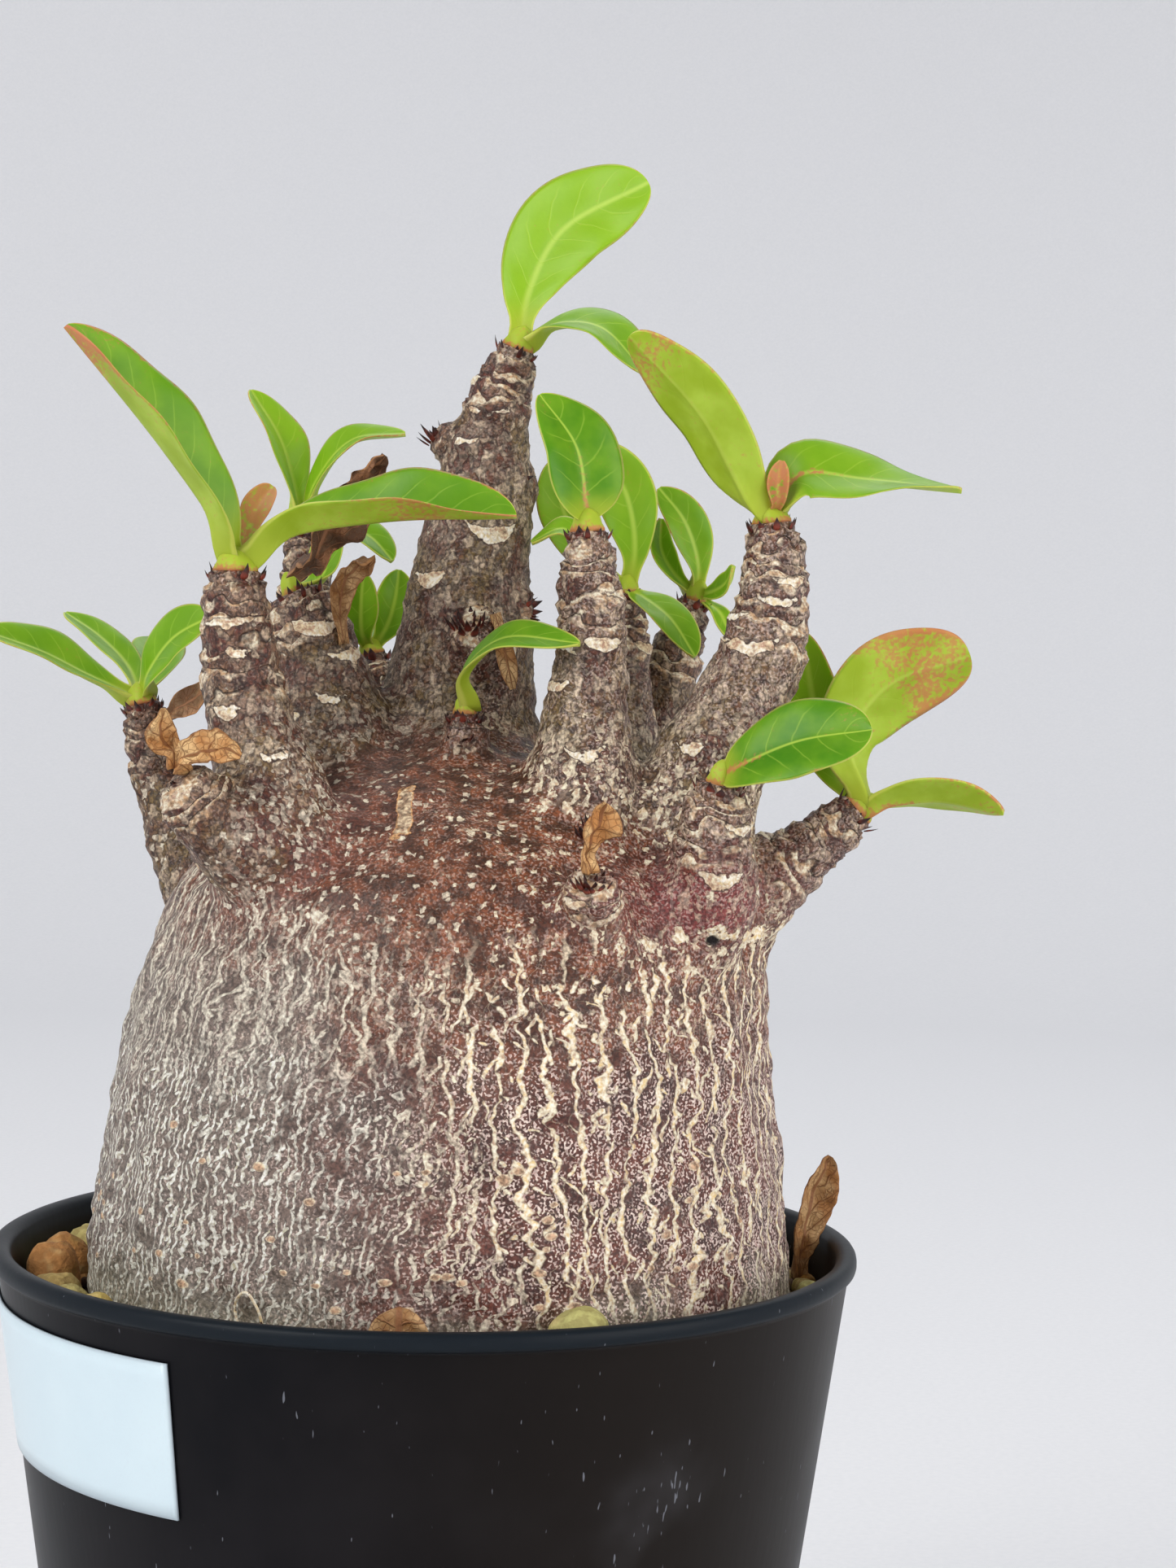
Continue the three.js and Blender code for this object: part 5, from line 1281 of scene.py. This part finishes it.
    greyed = faded(add, mask["fine"], higher, 0.5)
    # On the pale left side the cork is near white, partly as painted skylight.
    pale_cork = add("mix", greyed, look.cork, add("mix", mask["pale"], "#aca094", "#dfdccf"))
    pale_cork = add("mix", add("step", grit, 0.4, 0.65, 0.4), pale_cork, "#9b8f80")
    pale_cork = add("mix", add("MULTIPLY", mask["green"], 0.5), pale_cork, "#abae9f")
    raised = add("MAXIMUM", cork, add("MULTIPLY", flake, 0.85))
    crust = add("step", weighted(add, mask["crust"], (patch, 2.6), (grit, 2.0)), 0.6, 0.75)
    raised = add("MAXIMUM", raised, crust)
    colour = add("mix", raised, ground, pale_cork)

    wart = add("step", weighted(add, mask["wart"], (grit, 0.5)), -0.02, 0.18)
    wart_colour = add("mix", add("step", mask["wart"], 0.1, 0.5), "#cfbb9f", "#b08e72")
    colour = add("mix", wart, colour, wart_colour)

    # Collars end in a crease darkened with painted shade, and under it a tan lip that is partly the bark's
    # own colour and partly a painted highlight on the collar's raised edge. Scars are cream with a tan
    # middle.
    crease_at = add("FRACT", mask["ring"])
    off = add("ABSOLUTE", add("SUBTRACT", crease_at, 0.5))
    crease = add("MULTIPLY", add("step", off, 0.43, 0.49), add("step", mask["collar"], 0.1, 0.6))
    crease = add("MULTIPLY", crease, add("step", patch, 0.38, 0.55))
    crease = add("MULTIPLY", crease, add("step", mask["ring"], 0.3, 0.6))
    lip = add("MULTIPLY", add("step", weighted(add, crease_at, (patch, 1.6), (grit, 0.5)), 0.45, 0.25),
              add("step", mask["collar"], 0.2, 0.7))
    lip = add("MULTIPLY", lip, add("step", mottle, 0.44, 0.52, 0.9))
    # Painted shade darkens the crease, and the tan lip is partly a painted highlight.
    lip_and_highlight_colour = add("mix", add("step", grit, 0.35, 0.6), "#b08d6a", "#e0d0b6")
    colour = add("mix", lip, colour, lip_and_highlight_colour)
    colour = add("mix", add("MULTIPLY", crease, 0.8), colour, "#25130d")
    edge = weighted(add, mask["scar"], (patch, 1.6), (grit, 0.9))
    scar_colour = add("mix", add("step", patch, 0.46, 0.62, 0.75), look.scar, "#bf9d78")
    scar_colour = add("mix", add("step", grit, 0.5, 0.7, 0.4), scar_colour, "#8f7158")
    colour = add("mix", add("step", edge, -0.22, -0.06, 0.75), colour, "#3a2119")
    on_scar = add("step", edge, -0.03, 0.1)
    colour = add("mix", on_scar, colour, scar_colour)
    scrape = weighted(add, mask["scrape"], (grit, 0.7), (patch, 0.5))
    worn = add("mix", add("step", grit, 0.4, 0.6), "#8d735c", "#cbb394")
    scrape_colour = add("mix", add("step", scrape, 0.08, 0.3), "#b98a5c", worn)
    colour = add("mix", add("step", scrape, 0.0, 0.1), colour, scrape_colour)
    # Painted shade: the small hole is painted near black for the shade inside it.
    colour = add("mix", add("step", mask["hole"], 0.35, 0.7), colour, "#120806")

    # Cork and skin are granular at about 0.4 mm, which darkens and lightens whatever lies there.
    granules = add("step", add("noise", place, 0.42, 3.0), 0.3, 0.7)
    colour = add("mix", 0.5, colour, granules, blend_type="OVERLAY")

    matt = add("MAXIMUM", raised, on_scar)
    rough = add("range", matt, 0.5, 0.85)
    height = add("MULTIPLY_ADD", raised, 0.9, add("MULTIPLY", grit, 0.4))
    height = add("MULTIPLY_ADD", granules, 0.22, height)
    height = add("MULTIPLY_ADD", patch, 0.35, height)
    height = add("MULTIPLY_ADD", add("MULTIPLY_ADD", crack, 0.5, crease), -0.8, height)
    bump = add("bump", 0.65, 0.0003, height)
    shader = add("surface", colour, rough, bump, more={"IOR": 1.45})
    return finish_material(material, add, shader)


def leaf_material(look):
    """A living succulent leaf: waxy, so it has a soft gloss, paler and more matt below, with a pale
    midrib and side veins, and red flecks where the sun has caught it."""
    material, add = start_material("waxy_living_leaf")
    place = add("place")
    share, across, _ = add("axes", place.node.outputs["UV"])
    v = add("MULTIPLY", add("ABSOLUTE", add("SUBTRACT", across, 0.5)), 2.0)
    value = {name: add("attribute", attribute_name=name) for name in (
        "face_up", "blush", "shade", "veins", "half_mm")}
    cloud = add("noise", place, 4.7619, 3.0)
    flecks = add("noise", place, 0.5)

    # Side veins leave the midrib at about 45 degrees and curve forward: a vein is where
    # veins * (share - 0.2 * v) + wobble is near a whole number.
    lean = add("MULTIPLY", add("POWER", v, 1.25), 0.2)
    count = add("MULTIPLY", add("SUBTRACT", share, lean), value["veins"])
    count = add("ADD", count, add("MULTIPLY", cloud, 0.5))
    half_way = add("ABSOLUTE", add("SUBTRACT", add("FRACT", count), 0.5))
    vein = add("MULTIPLY", add("step", half_way, 0.06, 0.0), add("step", v, 0.9, 0.5, 0.26))
    from_rib = add("MULTIPLY", v, value["half_mm"])
    rib_half = add("MULTIPLY_ADD", value["shade"], 0.4, 0.42)
    rib = add("step", from_rib, add("MULTIPLY_ADD", share, -0.32, rib_half), 0.03, 0.7)
    upper = add("mix", value["shade"], look.upper_deep, look.upper_bright)
    upper = add("mix", add("step", cloud, 0.3, 0.7, 0.35), upper, "#93b928")
    upper = add("mix", add("MAXIMUM", vein, rib), upper, "#b3cc4c")
    lower = add("mix", add("step", cloud, 0.3, 0.7), look.under, "#a9c142")
    lower = add("mix", add("MULTIPLY", rib, 0.4), lower, "#c3d162")
    colour = add("mix", value["face_up"], lower, upper)
    stalk = add("step", share, 0.26, 0.05, 0.85)
    colour = add("mix", stalk, colour, "#a5b433")
    margin = add("step", add("MULTIPLY", add("SUBTRACT", 1.0, v), value["half_mm"]), 0.32, 0.12, 0.75)
    colour = add("mix", margin, colour, "#c5c95e")
    redness = weighted(add, add("MULTIPLY", value["blush"], 0.62), (flecks, 1.5), (cloud, 0.9))
    red = add("MULTIPLY", add("step", redness, 0.24, 0.72), add("MULTIPLY_ADD", value["blush"], 0.28, 0.42))
    colour = add("mix", red, colour, add("mix", cloud, look.blush, "#c86a58"))
    rough = add("range", value["face_up"], 0.5, 0.36)
    height = add("MULTIPLY_ADD", vein, -0.6, add("MULTIPLY", flecks, 0.25))
    bump = add("bump", 0.35, 0.00015, height)
    shader = add("surface", colour, rough, bump,
                 more={"Specular IOR Level": 0.22, "Subsurface Weight": 0.18,
                       "Subsurface Radius": (0.0012, 0.0016, 0.0004), "Subsurface Scale": 1.0})
    return finish_material(material, add, shader)


def withered_material():
    """A dead leaf, dried brown: papery and matt, with darker blotches, pale broken veins and a faint
    sheen on its folds."""
    material, add = start_material("withered_papery_leaf")
    place = add("place")
    share, across, _ = add("axes", place.node.outputs["UV"])
    dark = add("attribute", attribute_name="shade")
    veins = add("attribute", attribute_name="veins")
    v = add("MULTIPLY", add("ABSOLUTE", add("SUBTRACT", across, 0.5)), 2.0)
    cloud = add("noise", place, 3.0303, 5.0)
    fibre = add("noise", place, 0.66667, 3.0)
    count = add("MULTIPLY", add("MULTIPLY_ADD", v, -0.22, share), veins)
    count = add("MULTIPLY_ADD", cloud, 1.2, count)
    half_way = add("ABSOLUTE", add("SUBTRACT", add("FRACT", count), 0.5))
    cell = add("cells", place, 0.76923, 1.0, feature="DISTANCE_TO_EDGE")["Distance"]
    rib = add("step", v, 0.14, 0.05, 0.9)
    vein = add("MAXIMUM", rib, add("MAXIMUM", add("step", half_way, 0.09, 0.0, 0.8),
                                   add("step", cell, 0.07, 0.0, 0.45)))
    light = add("mix", add("step", cloud, 0.35, 0.65), "#c08448", "#ecc68d")
    deep = add("mix", add("step", cloud, 0.46, 0.66), "#2a120b", "#865236")
    colour = add("mix", dark, light, deep)
    colour = add("mix", vein, colour, add("mix", dark, "#7d4a22", "#8f6141"))
    colour = add("mix", add("step", fibre, 0.55, 0.75, 0.5), colour, "#5a2f18")
    # For dark dead leaves the margin is pale tan, partly the dry edge's own colour and partly a painted
    # highlight.
    margin = add("mix", dark, "#8a5528", "#c08a5a")
    colour = add("mix", add("step", weighted(add, v, (cloud, 0.5)), 0.86, 0.98, 0.8), colour, margin)
    height = add("MULTIPLY_ADD", fibre, 0.6, add("ADD", cloud, vein))
    bump = add("bump", 0.7, 0.0003, height)
    shader = add("surface", colour, 0.66, bump, more={"IOR": 1.45})
    return finish_material(material, add, shader)


def scale_material():
    """Dry bud scales: dark red to black at the points, hard, with a dull gloss."""
    material, add = start_material("dry_red_bud_scale")
    place = add("place")
    tone = add("attribute", attribute_name="tone")
    cloud = add("noise", place, 1.5385, 3.0)
    base = add("mix", add("step", cloud, 0.35, 0.65), "#3a110e", "#7d3222")
    colour = add("mix", add("step", tone, 0.3, 0.85, 0.92), base, "#170907")
    shader = add("surface", colour, 0.5, more={"IOR": 1.45})
    return finish_material(material, add, shader)


def pot_material(look):
    """Injection-moulded polypropylene, near black: satin, with a faint upright grain from the mould, fine
    pale nicks all over, and a few scuffs at the front."""
    material, add = start_material("moulded_black_polypropylene")
    place = add("place")
    x, y, z = add("axes", place)
    streaks = add("noise", add("stretch", place, (1.0, 1.0, 0.12)), 1.1111, 2.0)
    cloud = add("noise", place, 18.182, 3.0)
    nicks = add("noise", taller(add, place, 5.0), 0.47619, 1.0)
    # Scuffs gather round one place on the right of the front, in an oval 15 mm wide and 22 mm high.
    from_x, from_z = (add("POWER", add("DIVIDE", add("SUBTRACT", a, middle), half), 2.0)
                      for a, middle, half in ((x, 0.029, 0.0075), (z, 0.071, 0.011)))
    front = add("step", y, -0.02, -0.03)
    scuffed = add("MULTIPLY", add("step", add("ADD", from_x, from_z), 1.6, 0.0), front)
    gathered = add("MULTIPLY", scuffed, add("step", cloud, 0.4, 0.62))
    limit = add("MULTIPLY_ADD", gathered, -0.115, 0.765)
    nick = add("step", add("SUBTRACT", nicks, limit), 0.0, 0.04, 0.5)
    haze = add("MULTIPLY", add("step", cloud, 0.45, 0.75), add("MULTIPLY_ADD", scuffed, 0.07, 0.006))
    colour = add("mix", add("step", cloud, 0.3, 0.7), look.plastic, "#110f12")
    # Painted reflection: the right front of the wall is tinted brown for a warm reflection.
    painted_warm_reflection = add("MULTIPLY", add("step", x, -0.02, 0.03), add("step", y, 0.0, -0.02))
    colour = add("mix", painted_warm_reflection, colour, "#17120f")
    # Painted reflection: the rim is tinted blue grey for the sheen that it shows.
    colour = add("mix", add("step", z, 0.0924, 0.0934), colour, "#161c22")
    colour = add("mix", haze, colour, "#9a9ba3")
    colour = add("mix", nick, colour, "#8b8e98")
    rough = add("MULTIPLY_ADD", cloud, 0.14, 0.33)
    rough = add("MULTIPLY_ADD", nick, 0.3, rough)
    bump = add("bump", 0.14, 0.0001, streaks)
    shader = add("surface", colour, rough, bump, more={"Specular IOR Level": 0.1})
    return finish_material(material, add, shader)


def label_material(look):
    """Laminated label film, left bare: cool white with a soft gloss, slightly uneven where it was
    smoothed down, and greyed along its edges by a painted shadow."""
    material, add = start_material("laminated_label_film")
    place = add("place")
    u, v, _ = add("axes", place.node.outputs["UV"])
    cloud = add("noise", place, 11.111, 3.0)
    fibre = add("noise", place, 0.38462, 2.0)
    # Painted shadow: the film is greyed along its edges.
    rim = add("MAXIMUM", *(add("step", add("ABSOLUTE", add("SUBTRACT", a, 0.5)), near, 0.5)
                           for a, near in ((u, 0.492), (v, 0.475))))
    colour = add("mix", cloud, "#c6d8e1", look.film)
    colour = add("mix", add("step", fibre, 0.5, 0.8, 0.2), colour, "#c8d2dc")
    colour = add("mix", add("MULTIPLY", rim, 0.5), colour, "#9fa9b4")
    rough = add("MULTIPLY_ADD", cloud, 0.15, 0.25)
    bump = add("bump", 0.2, 0.0002, cloud)
    shader = add("surface", colour, rough, bump, more={"IOR": 1.5})
    return finish_material(material, add, shader)


def grit_material(look):
    """Pumice, zeolite and fired clay: dusty and matt, full of pits, each grain of its own colour."""
    material, add = start_material("pumice_and_fired_clay_grit")
    place = add("place")
    tone = add("attribute", attribute_name="tone")
    pits = add("noise", place, 1.0526, 4.0)
    cloud = add("noise", place, 3.8462, 3.0)
    kinds = add("ramp", tone, stops=[
        (0.0, look.ochre), (0.28, "#b9b573"), (0.42, "#b07a45"), (0.58, "#c79a4a"),
        (0.72, "#7c6a62"), (0.88, "#3b2c25")])
    colour = add("mix", add("step", pits, 0.42, 0.62), add("mix", 0.35, kinds, "#5c3b1c"), kinds)
    colour = add("mix", add("step", cloud, 0.52, 0.75, 0.55), colour, "#dcc48a")
    colour = add("mix", add("step", cloud, 0.45, 0.3, 0.4), colour, "#86783a")
    height = add("MULTIPLY_ADD", cloud, 0.8, pits)
    bump = add("bump", 0.9, 0.0006, height)
    shader = add("surface", colour, 0.92, bump, more={"IOR": 1.45})
    return finish_material(material, add, shader)


def floor_material(look):
    """Seamless studio paper: plain, pale and matt, with a very faint tooth."""
    material, add = start_material("seamless_studio_paper")
    place = add("place")
    tooth = add("noise", place, 1.4286, 2.0)
    colour = add("mix", tooth, look.paper, "#e6e7ea")
    shader = add("surface", colour, 0.9, more={"IOR": 1.45})
    return finish_material(material, add, shader)


# ------ settings a user would change


def colour_property(name, description, hex_code):
    """A colour setting whose default is given as an sRGB hex code."""
    return FloatVectorProperty(name=name, description=description, subtype="COLOR", size=4, min=0.0, max=1.0,
                               default=rgb(hex_code))


class AdeniumSettings(bpy.types.PropertyGroup):
    """Sizes and colours of the plant, its pot and the studio."""

    barrel_columns: IntProperty(
        name="Barrel columns", description="Points round the corky barrel", default=640, min=64, max=900)
    crown_cell: FloatProperty(
        name="Crown cell", description="Cell of the net over the dome and branches, in millimetres",
        default=0.6, min=0.45, max=3.0)
    pot_columns: IntProperty(
        name="Pot columns", description="Points round the pot", default=256, min=48, max=512)
    grain_radius: FloatProperty(
        name="Grain radius", description="Largest radius of a coarse grain, in millimetres",
        default=GRAIN_RADIUS, min=2.0, max=5.0)
    fine_grains: IntProperty(
        name="Fine grains", description="Grains of grit between the coarse ones", default=320,
        min=0, max=800)
    bud_scales: IntProperty(
        name="Bud scales", description="Dry scales round each growing tip", default=20, min=0, max=40)
    key_power: FloatProperty(
        name="Key light", description="Power of the large soft light at the upper left", default=12.0,
        min=0.0, max=500.0, subtype="POWER", unit="POWER")
    skin_dark: colour_property("Dark skin", "Skin between the cork lines", "#44251f")
    skin_red: colour_property("Red skin", "Skin where it is red brown", "#613429")
    cork: colour_property("Cork", "Raised cork lines", "#ead9bb")
    scar: colour_property("Leaf scars", "Half moons that old leaves have left", "#e8dcc6")
    upper_bright: colour_property("Bright leaf", "Upper side of a sunlit leaf", "#86b01c")
    upper_deep: colour_property("Deep leaf", "Upper side of a darker leaf", "#3d7a08")
    under: colour_property("Leaf underside", "Lower side of a leaf", "#92a922")
    blush: colour_property("Leaf blush", "Red flecks on leaves", "#bd4048")
    plastic: colour_property("Pot", "Moulded plastic of the pot", "#06070c")
    film: colour_property("Label", "Bare label film", "#d4e4ea")
    ochre: colour_property("Grit", "Ochre grains of the mix", "#c9a552")
    paper: colour_property("Studio paper", "Floor and backdrop", "#f0f0f2")


def finished(name, bodies, materials, slot, *nodes):
    """One finished piece on the root body, with the solids that it stands for hidden. Its slot is not used.
    """
    piece = make_piece(name, bodies, materials)
    if nodes:
        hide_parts(*nodes)
    return piece


class ADENIUM_OT_pot(bpy.types.Operator):
    """Turn the pot's outline round its axis and cut its drain holes"""

    bl_idname = "adenium.pot"
    bl_label = "Pot"

    def execute(self, context):
        look = context.scene.adenium
        body, plastic = pot_body(look.pot_columns), pot_material(look)
        pot = finished("pot_moulded", [body], [plastic], "pot_plastic", "pot")
        plugs = make_piece("drain_plugs", drain_bodies(), [])
        cut = pot.modifiers.new("drain holes", "BOOLEAN")
        cut.operation, cut.solver, cut.object = "DIFFERENCE", "EXACT", plugs
        whole = pot.data
        pot.data = bpy.data.meshes.new_from_object(pot.evaluated_get(context.evaluated_depsgraph_get()))
        pot.data.name = pot.name
        pot.modifiers.clear()
        bpy.data.meshes.remove(whole)
        bpy.data.meshes.remove(plugs.data)
        return {"FINISHED"}


class ADENIUM_OT_label(bpy.types.Operator):
    """Bend a bare film of label round the pot's wall"""

    bl_idname = "adenium.label"
    bl_label = "Label"

    def execute(self, context):
        film = label_material(context.scene.adenium)
        finished("label_film", [label_body(columns=72, rows=10)], [film], "label_paper", "label")
        return {"FINISHED"}


class ADENIUM_OT_mix(bpy.types.Operator):
    """Fill the pot with its bed of mix, coarse grains and grit"""

    bl_idname = "adenium.mix"
    bl_label = "Growing mix"

    def execute(self, context):
        look = context.scene.adenium
        bodies = mix_bodies(look.grain_radius, look.fine_grains)
        finished("grit_and_mix", bodies, [grit_material(look)], "growing_mix", "growing_mix")
        return {"FINISHED"}


class ADENIUM_OT_caudex(bpy.types.Operator):
    """Grow the corky barrel, the dome with its branches, and a loop of dry root"""

    bl_idname = "adenium.caudex"
    bl_label = "Caudex and branches"

    def execute(self, context):
        look = context.scene.adenium
        bark = bark_material(look)
        finished("caudex_barrel", [barrel_body(look.barrel_columns)], [bark], "bark", "caudex")
        finished("branch_crown", [crown_body(look.crown_cell)], [bark], "bark", "caudex")
        finished("root_hair", [root_hair_body()], [bark], "bark")
        return {"FINISHED"}


class ADENIUM_OT_scales(bpy.types.Operator):
    """Set dry bud scales round the growing tips and on the old buds"""

    bl_idname = "adenium.scales"
    bl_label = "Bud scales"

    def execute(self, context):
        look = context.scene.adenium
        rng = np.random.default_rng(61)
        bodies = []
        for centre, direction, count, length in TUFTS:
            bodies += tuft(centre, direction, count, length, 0.9 + 0.05 * count, rng)
        for shoot in SHOOTS.values():
            end, direction = shoot_end(shoot["knots"])
            radius = shoot["knots"][-1][3]
            root, length = end + 0.5 * direction, 1.1 + 0.35 * radius
            bodies += tuft(root, direction, look.bud_scales, length, radius, rng)
        finished("bud_scales", bodies, [scale_material()], "bark")
        return {"FINISHED"}


class ADENIUM_OT_leaves(bpy.types.Operator):
    """Open the green leaves at the end of each branch"""

    bl_idname = "adenium.leaves"
    bl_label = "Leaves"

    def execute(self, context):
        look = context.scene.adenium
        green, bark = leaf_material(look), bpy.data.materials[BARK]
        for number, (name, shoot) in enumerate(SHOOTS.items()):
            end, direction = shoot_end(shoot["knots"])
            root = end + direction * (CLEARANCE + 1.6)
            leafiest = max(leaf[1] for leaf in shoot["leaves"]) * shoot.get("cone", 1.0)
            bodies = tip_bodies(end, direction, shoot["knots"][-1][3], leafiest)
            for place, (route, width, face, fold, extras) in enumerate(shoot["leaves"]):
                seed = 200 + 10 * number + place
                bodies.append(leaf_body([root, *route], width, face, fold, seed=seed, **extras))
            finished(f"foliage_{name}", bodies, [green, bark], "leaf", f"leaves_{name}")
        return {"FINISHED"}


class ADENIUM_OT_withered(bpy.types.Operator):
    """Hang the dead leaves on their stubs and stand the husks in the pot"""

    bl_idname = "adenium.withered"
    bl_label = "Dead leaves and husks"

    def execute(self, context):
        brown = withered_material()
        for number, (name, (route, width, face, fold, extras)) in enumerate(WITHERED.items()):
            body = leaf_body(route, width, face, fold, seed=400 + number, **extras)
            finished(f"{name}_papery", [body], [brown], "dried_leaf", name)
        end, direction = shoot_end(STUBS[0])
        bud = end + direction * (CLEARANCE + 0.8) + (0, 0, 0.8)
        pair = [leaf_body([bud, *route], width, face, fold, shade=0.12, crumple=0.7, seed=440 + number)
                for number, (route, width, face, fold) in enumerate(DEAD_PAIR)]
        name = "dried_leaves_left_stub_end"
        finished(f"{name}_papery", pair, [brown], "dried_leaf", name)
        finished("husk_at_rim_papery", [rim_husk_body()], [brown], "dried_leaf", "husk_at_rim")
        return {"FINISHED"}


def soft_light(name, place, target, size, power, colour):
    """A square area light that faces a point. Place, target and size are metres."""
    light = bpy.data.lights.new(name, "AREA")
    light.shape, light.size, light.energy, light.color = "SQUARE", size, power, colour
    lamp = bpy.data.objects.new(name, light)
    lamp.location = place
    lamp.rotation_euler = (Vector(target) - Vector(place)).to_track_quat("-Z", "Y").to_euler()
    bpy.context.scene.collection.objects.link(lamp)


class ADENIUM_OT_stage(bpy.types.Operator):
    """Set up the round paper sweep, the soft lights and the camera of the photograph"""

    bl_idname = "adenium.stage"
    bl_label = "Studio"

    def execute(self, context):
        look, scene = context.scene.adenium, context.scene
        wall = FLAT_RADIUS + BEND_RADIUS
        sweep = [(100, 0), (500, 0), (FLAT_RADIUS, 0)]
        sweep += [(FLAT_RADIUS + BEND_RADIUS * math.sin(a), BEND_RADIUS - BEND_RADIUS * math.cos(a))
                  for a in np.radians(np.linspace(0, 90, 16))]
        sweep += [(wall, SWEEP_HEIGHT), (wall + 40, SWEEP_HEIGHT), (wall + 40, -30), (100, -30)]
        floor = make_object("paper_sweep", [lathe(np.array(sweep) - (0, 0.05), 96)], [floor_material(look)])
        floor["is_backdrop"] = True

        middle = (0.0, 0.0, 0.12)
        soft_light("key_upper_left", (-0.75, -0.75, 0.95), middle, 0.8, look.key_power, (1.0, 0.99, 0.97))
        soft_light("fill_right", (1.0, -0.6, 0.5), middle, 1.0, 0.75 * look.key_power, (1.0, 0.97, 0.94))
        soft_light("back_top", (0.15, 0.8, 1.2), middle, 0.9, 0.35 * look.key_power, (0.97, 0.98, 1.0))
        world = bpy.data.worlds.new("pale_room")
        world.use_nodes = True
        sky = world.node_tree.nodes["Background"].inputs
        sky["Color"].default_value, sky["Strength"].default_value = rgb("#e9edf3"), 0.32
        scene.world = world
        scene.view_settings.view_transform = "Standard"

        pitch, roll = math.radians(CAMERA_PITCH), math.radians(CAMERA_ROLL)
        ahead = Vector((0, math.cos(pitch), -math.sin(pitch)))
        right = Vector((1, 0, 0))
        up = right.cross(ahead)
        rolled_right = right * math.cos(roll) + up * math.sin(roll)
        rolled_up = up * math.cos(roll) - right * math.sin(roll)
        lens = bpy.data.cameras.new("photograph_view")
        lens.lens, lens.sensor_width, lens.sensor_fit = LENS, SENSOR, "AUTO"
        lens.clip_start, lens.clip_end = 0.02, 10.0
        camera = bpy.data.objects.new("photograph_view", lens)
        turned = Matrix((rolled_right, rolled_up, -ahead)).transposed()
        camera.matrix_world = Matrix.Translation(CAMERA_PLACE) @ turned.to_4x4()
        scene.collection.objects.link(camera)
        scene.camera = camera
        return {"FINISHED"}


STEPS = (ADENIUM_OT_stage, ADENIUM_OT_pot, ADENIUM_OT_label, ADENIUM_OT_mix, ADENIUM_OT_caudex,
         ADENIUM_OT_scales, ADENIUM_OT_leaves, ADENIUM_OT_withered)


class ADENIUM_PT_panel(bpy.types.Panel):
    """Settings, and a button for each step"""

    bl_idname = "ADENIUM_PT_panel"
    bl_label = "Potted adenium"
    bl_space_type = "VIEW_3D"
    bl_region_type = "UI"
    bl_category = "Adenium"

    def draw(self, context):
        for name in AdeniumSettings.__annotations__:
            self.layout.prop(context.scene.adenium, name)
        for step in STEPS:
            self.layout.operator(step.bl_idname)


CLASSES = (AdeniumSettings, *STEPS, ADENIUM_PT_panel)


def register():
    for item in CLASSES:
        bpy.utils.register_class(item)
    bpy.types.Scene.adenium = PointerProperty(type=AdeniumSettings)


def unregister():
    del bpy.types.Scene.adenium
    for item in reversed(CLASSES):
        bpy.utils.unregister_class(item)


def main():
    """Runs every step in turn."""
    register()
    for name in ("stage", "pot", "label", "mix", "caudex", "scales", "leaves", "withered"):
        getattr(bpy.ops.adenium, name)()
    boxes = {"packed": CAD_BOX, "visible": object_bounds()}
    boxes = {name: [[float(a) for a in corner] for corner in box] for name, box in boxes.items()}


if __name__ == "__main__":
    main()
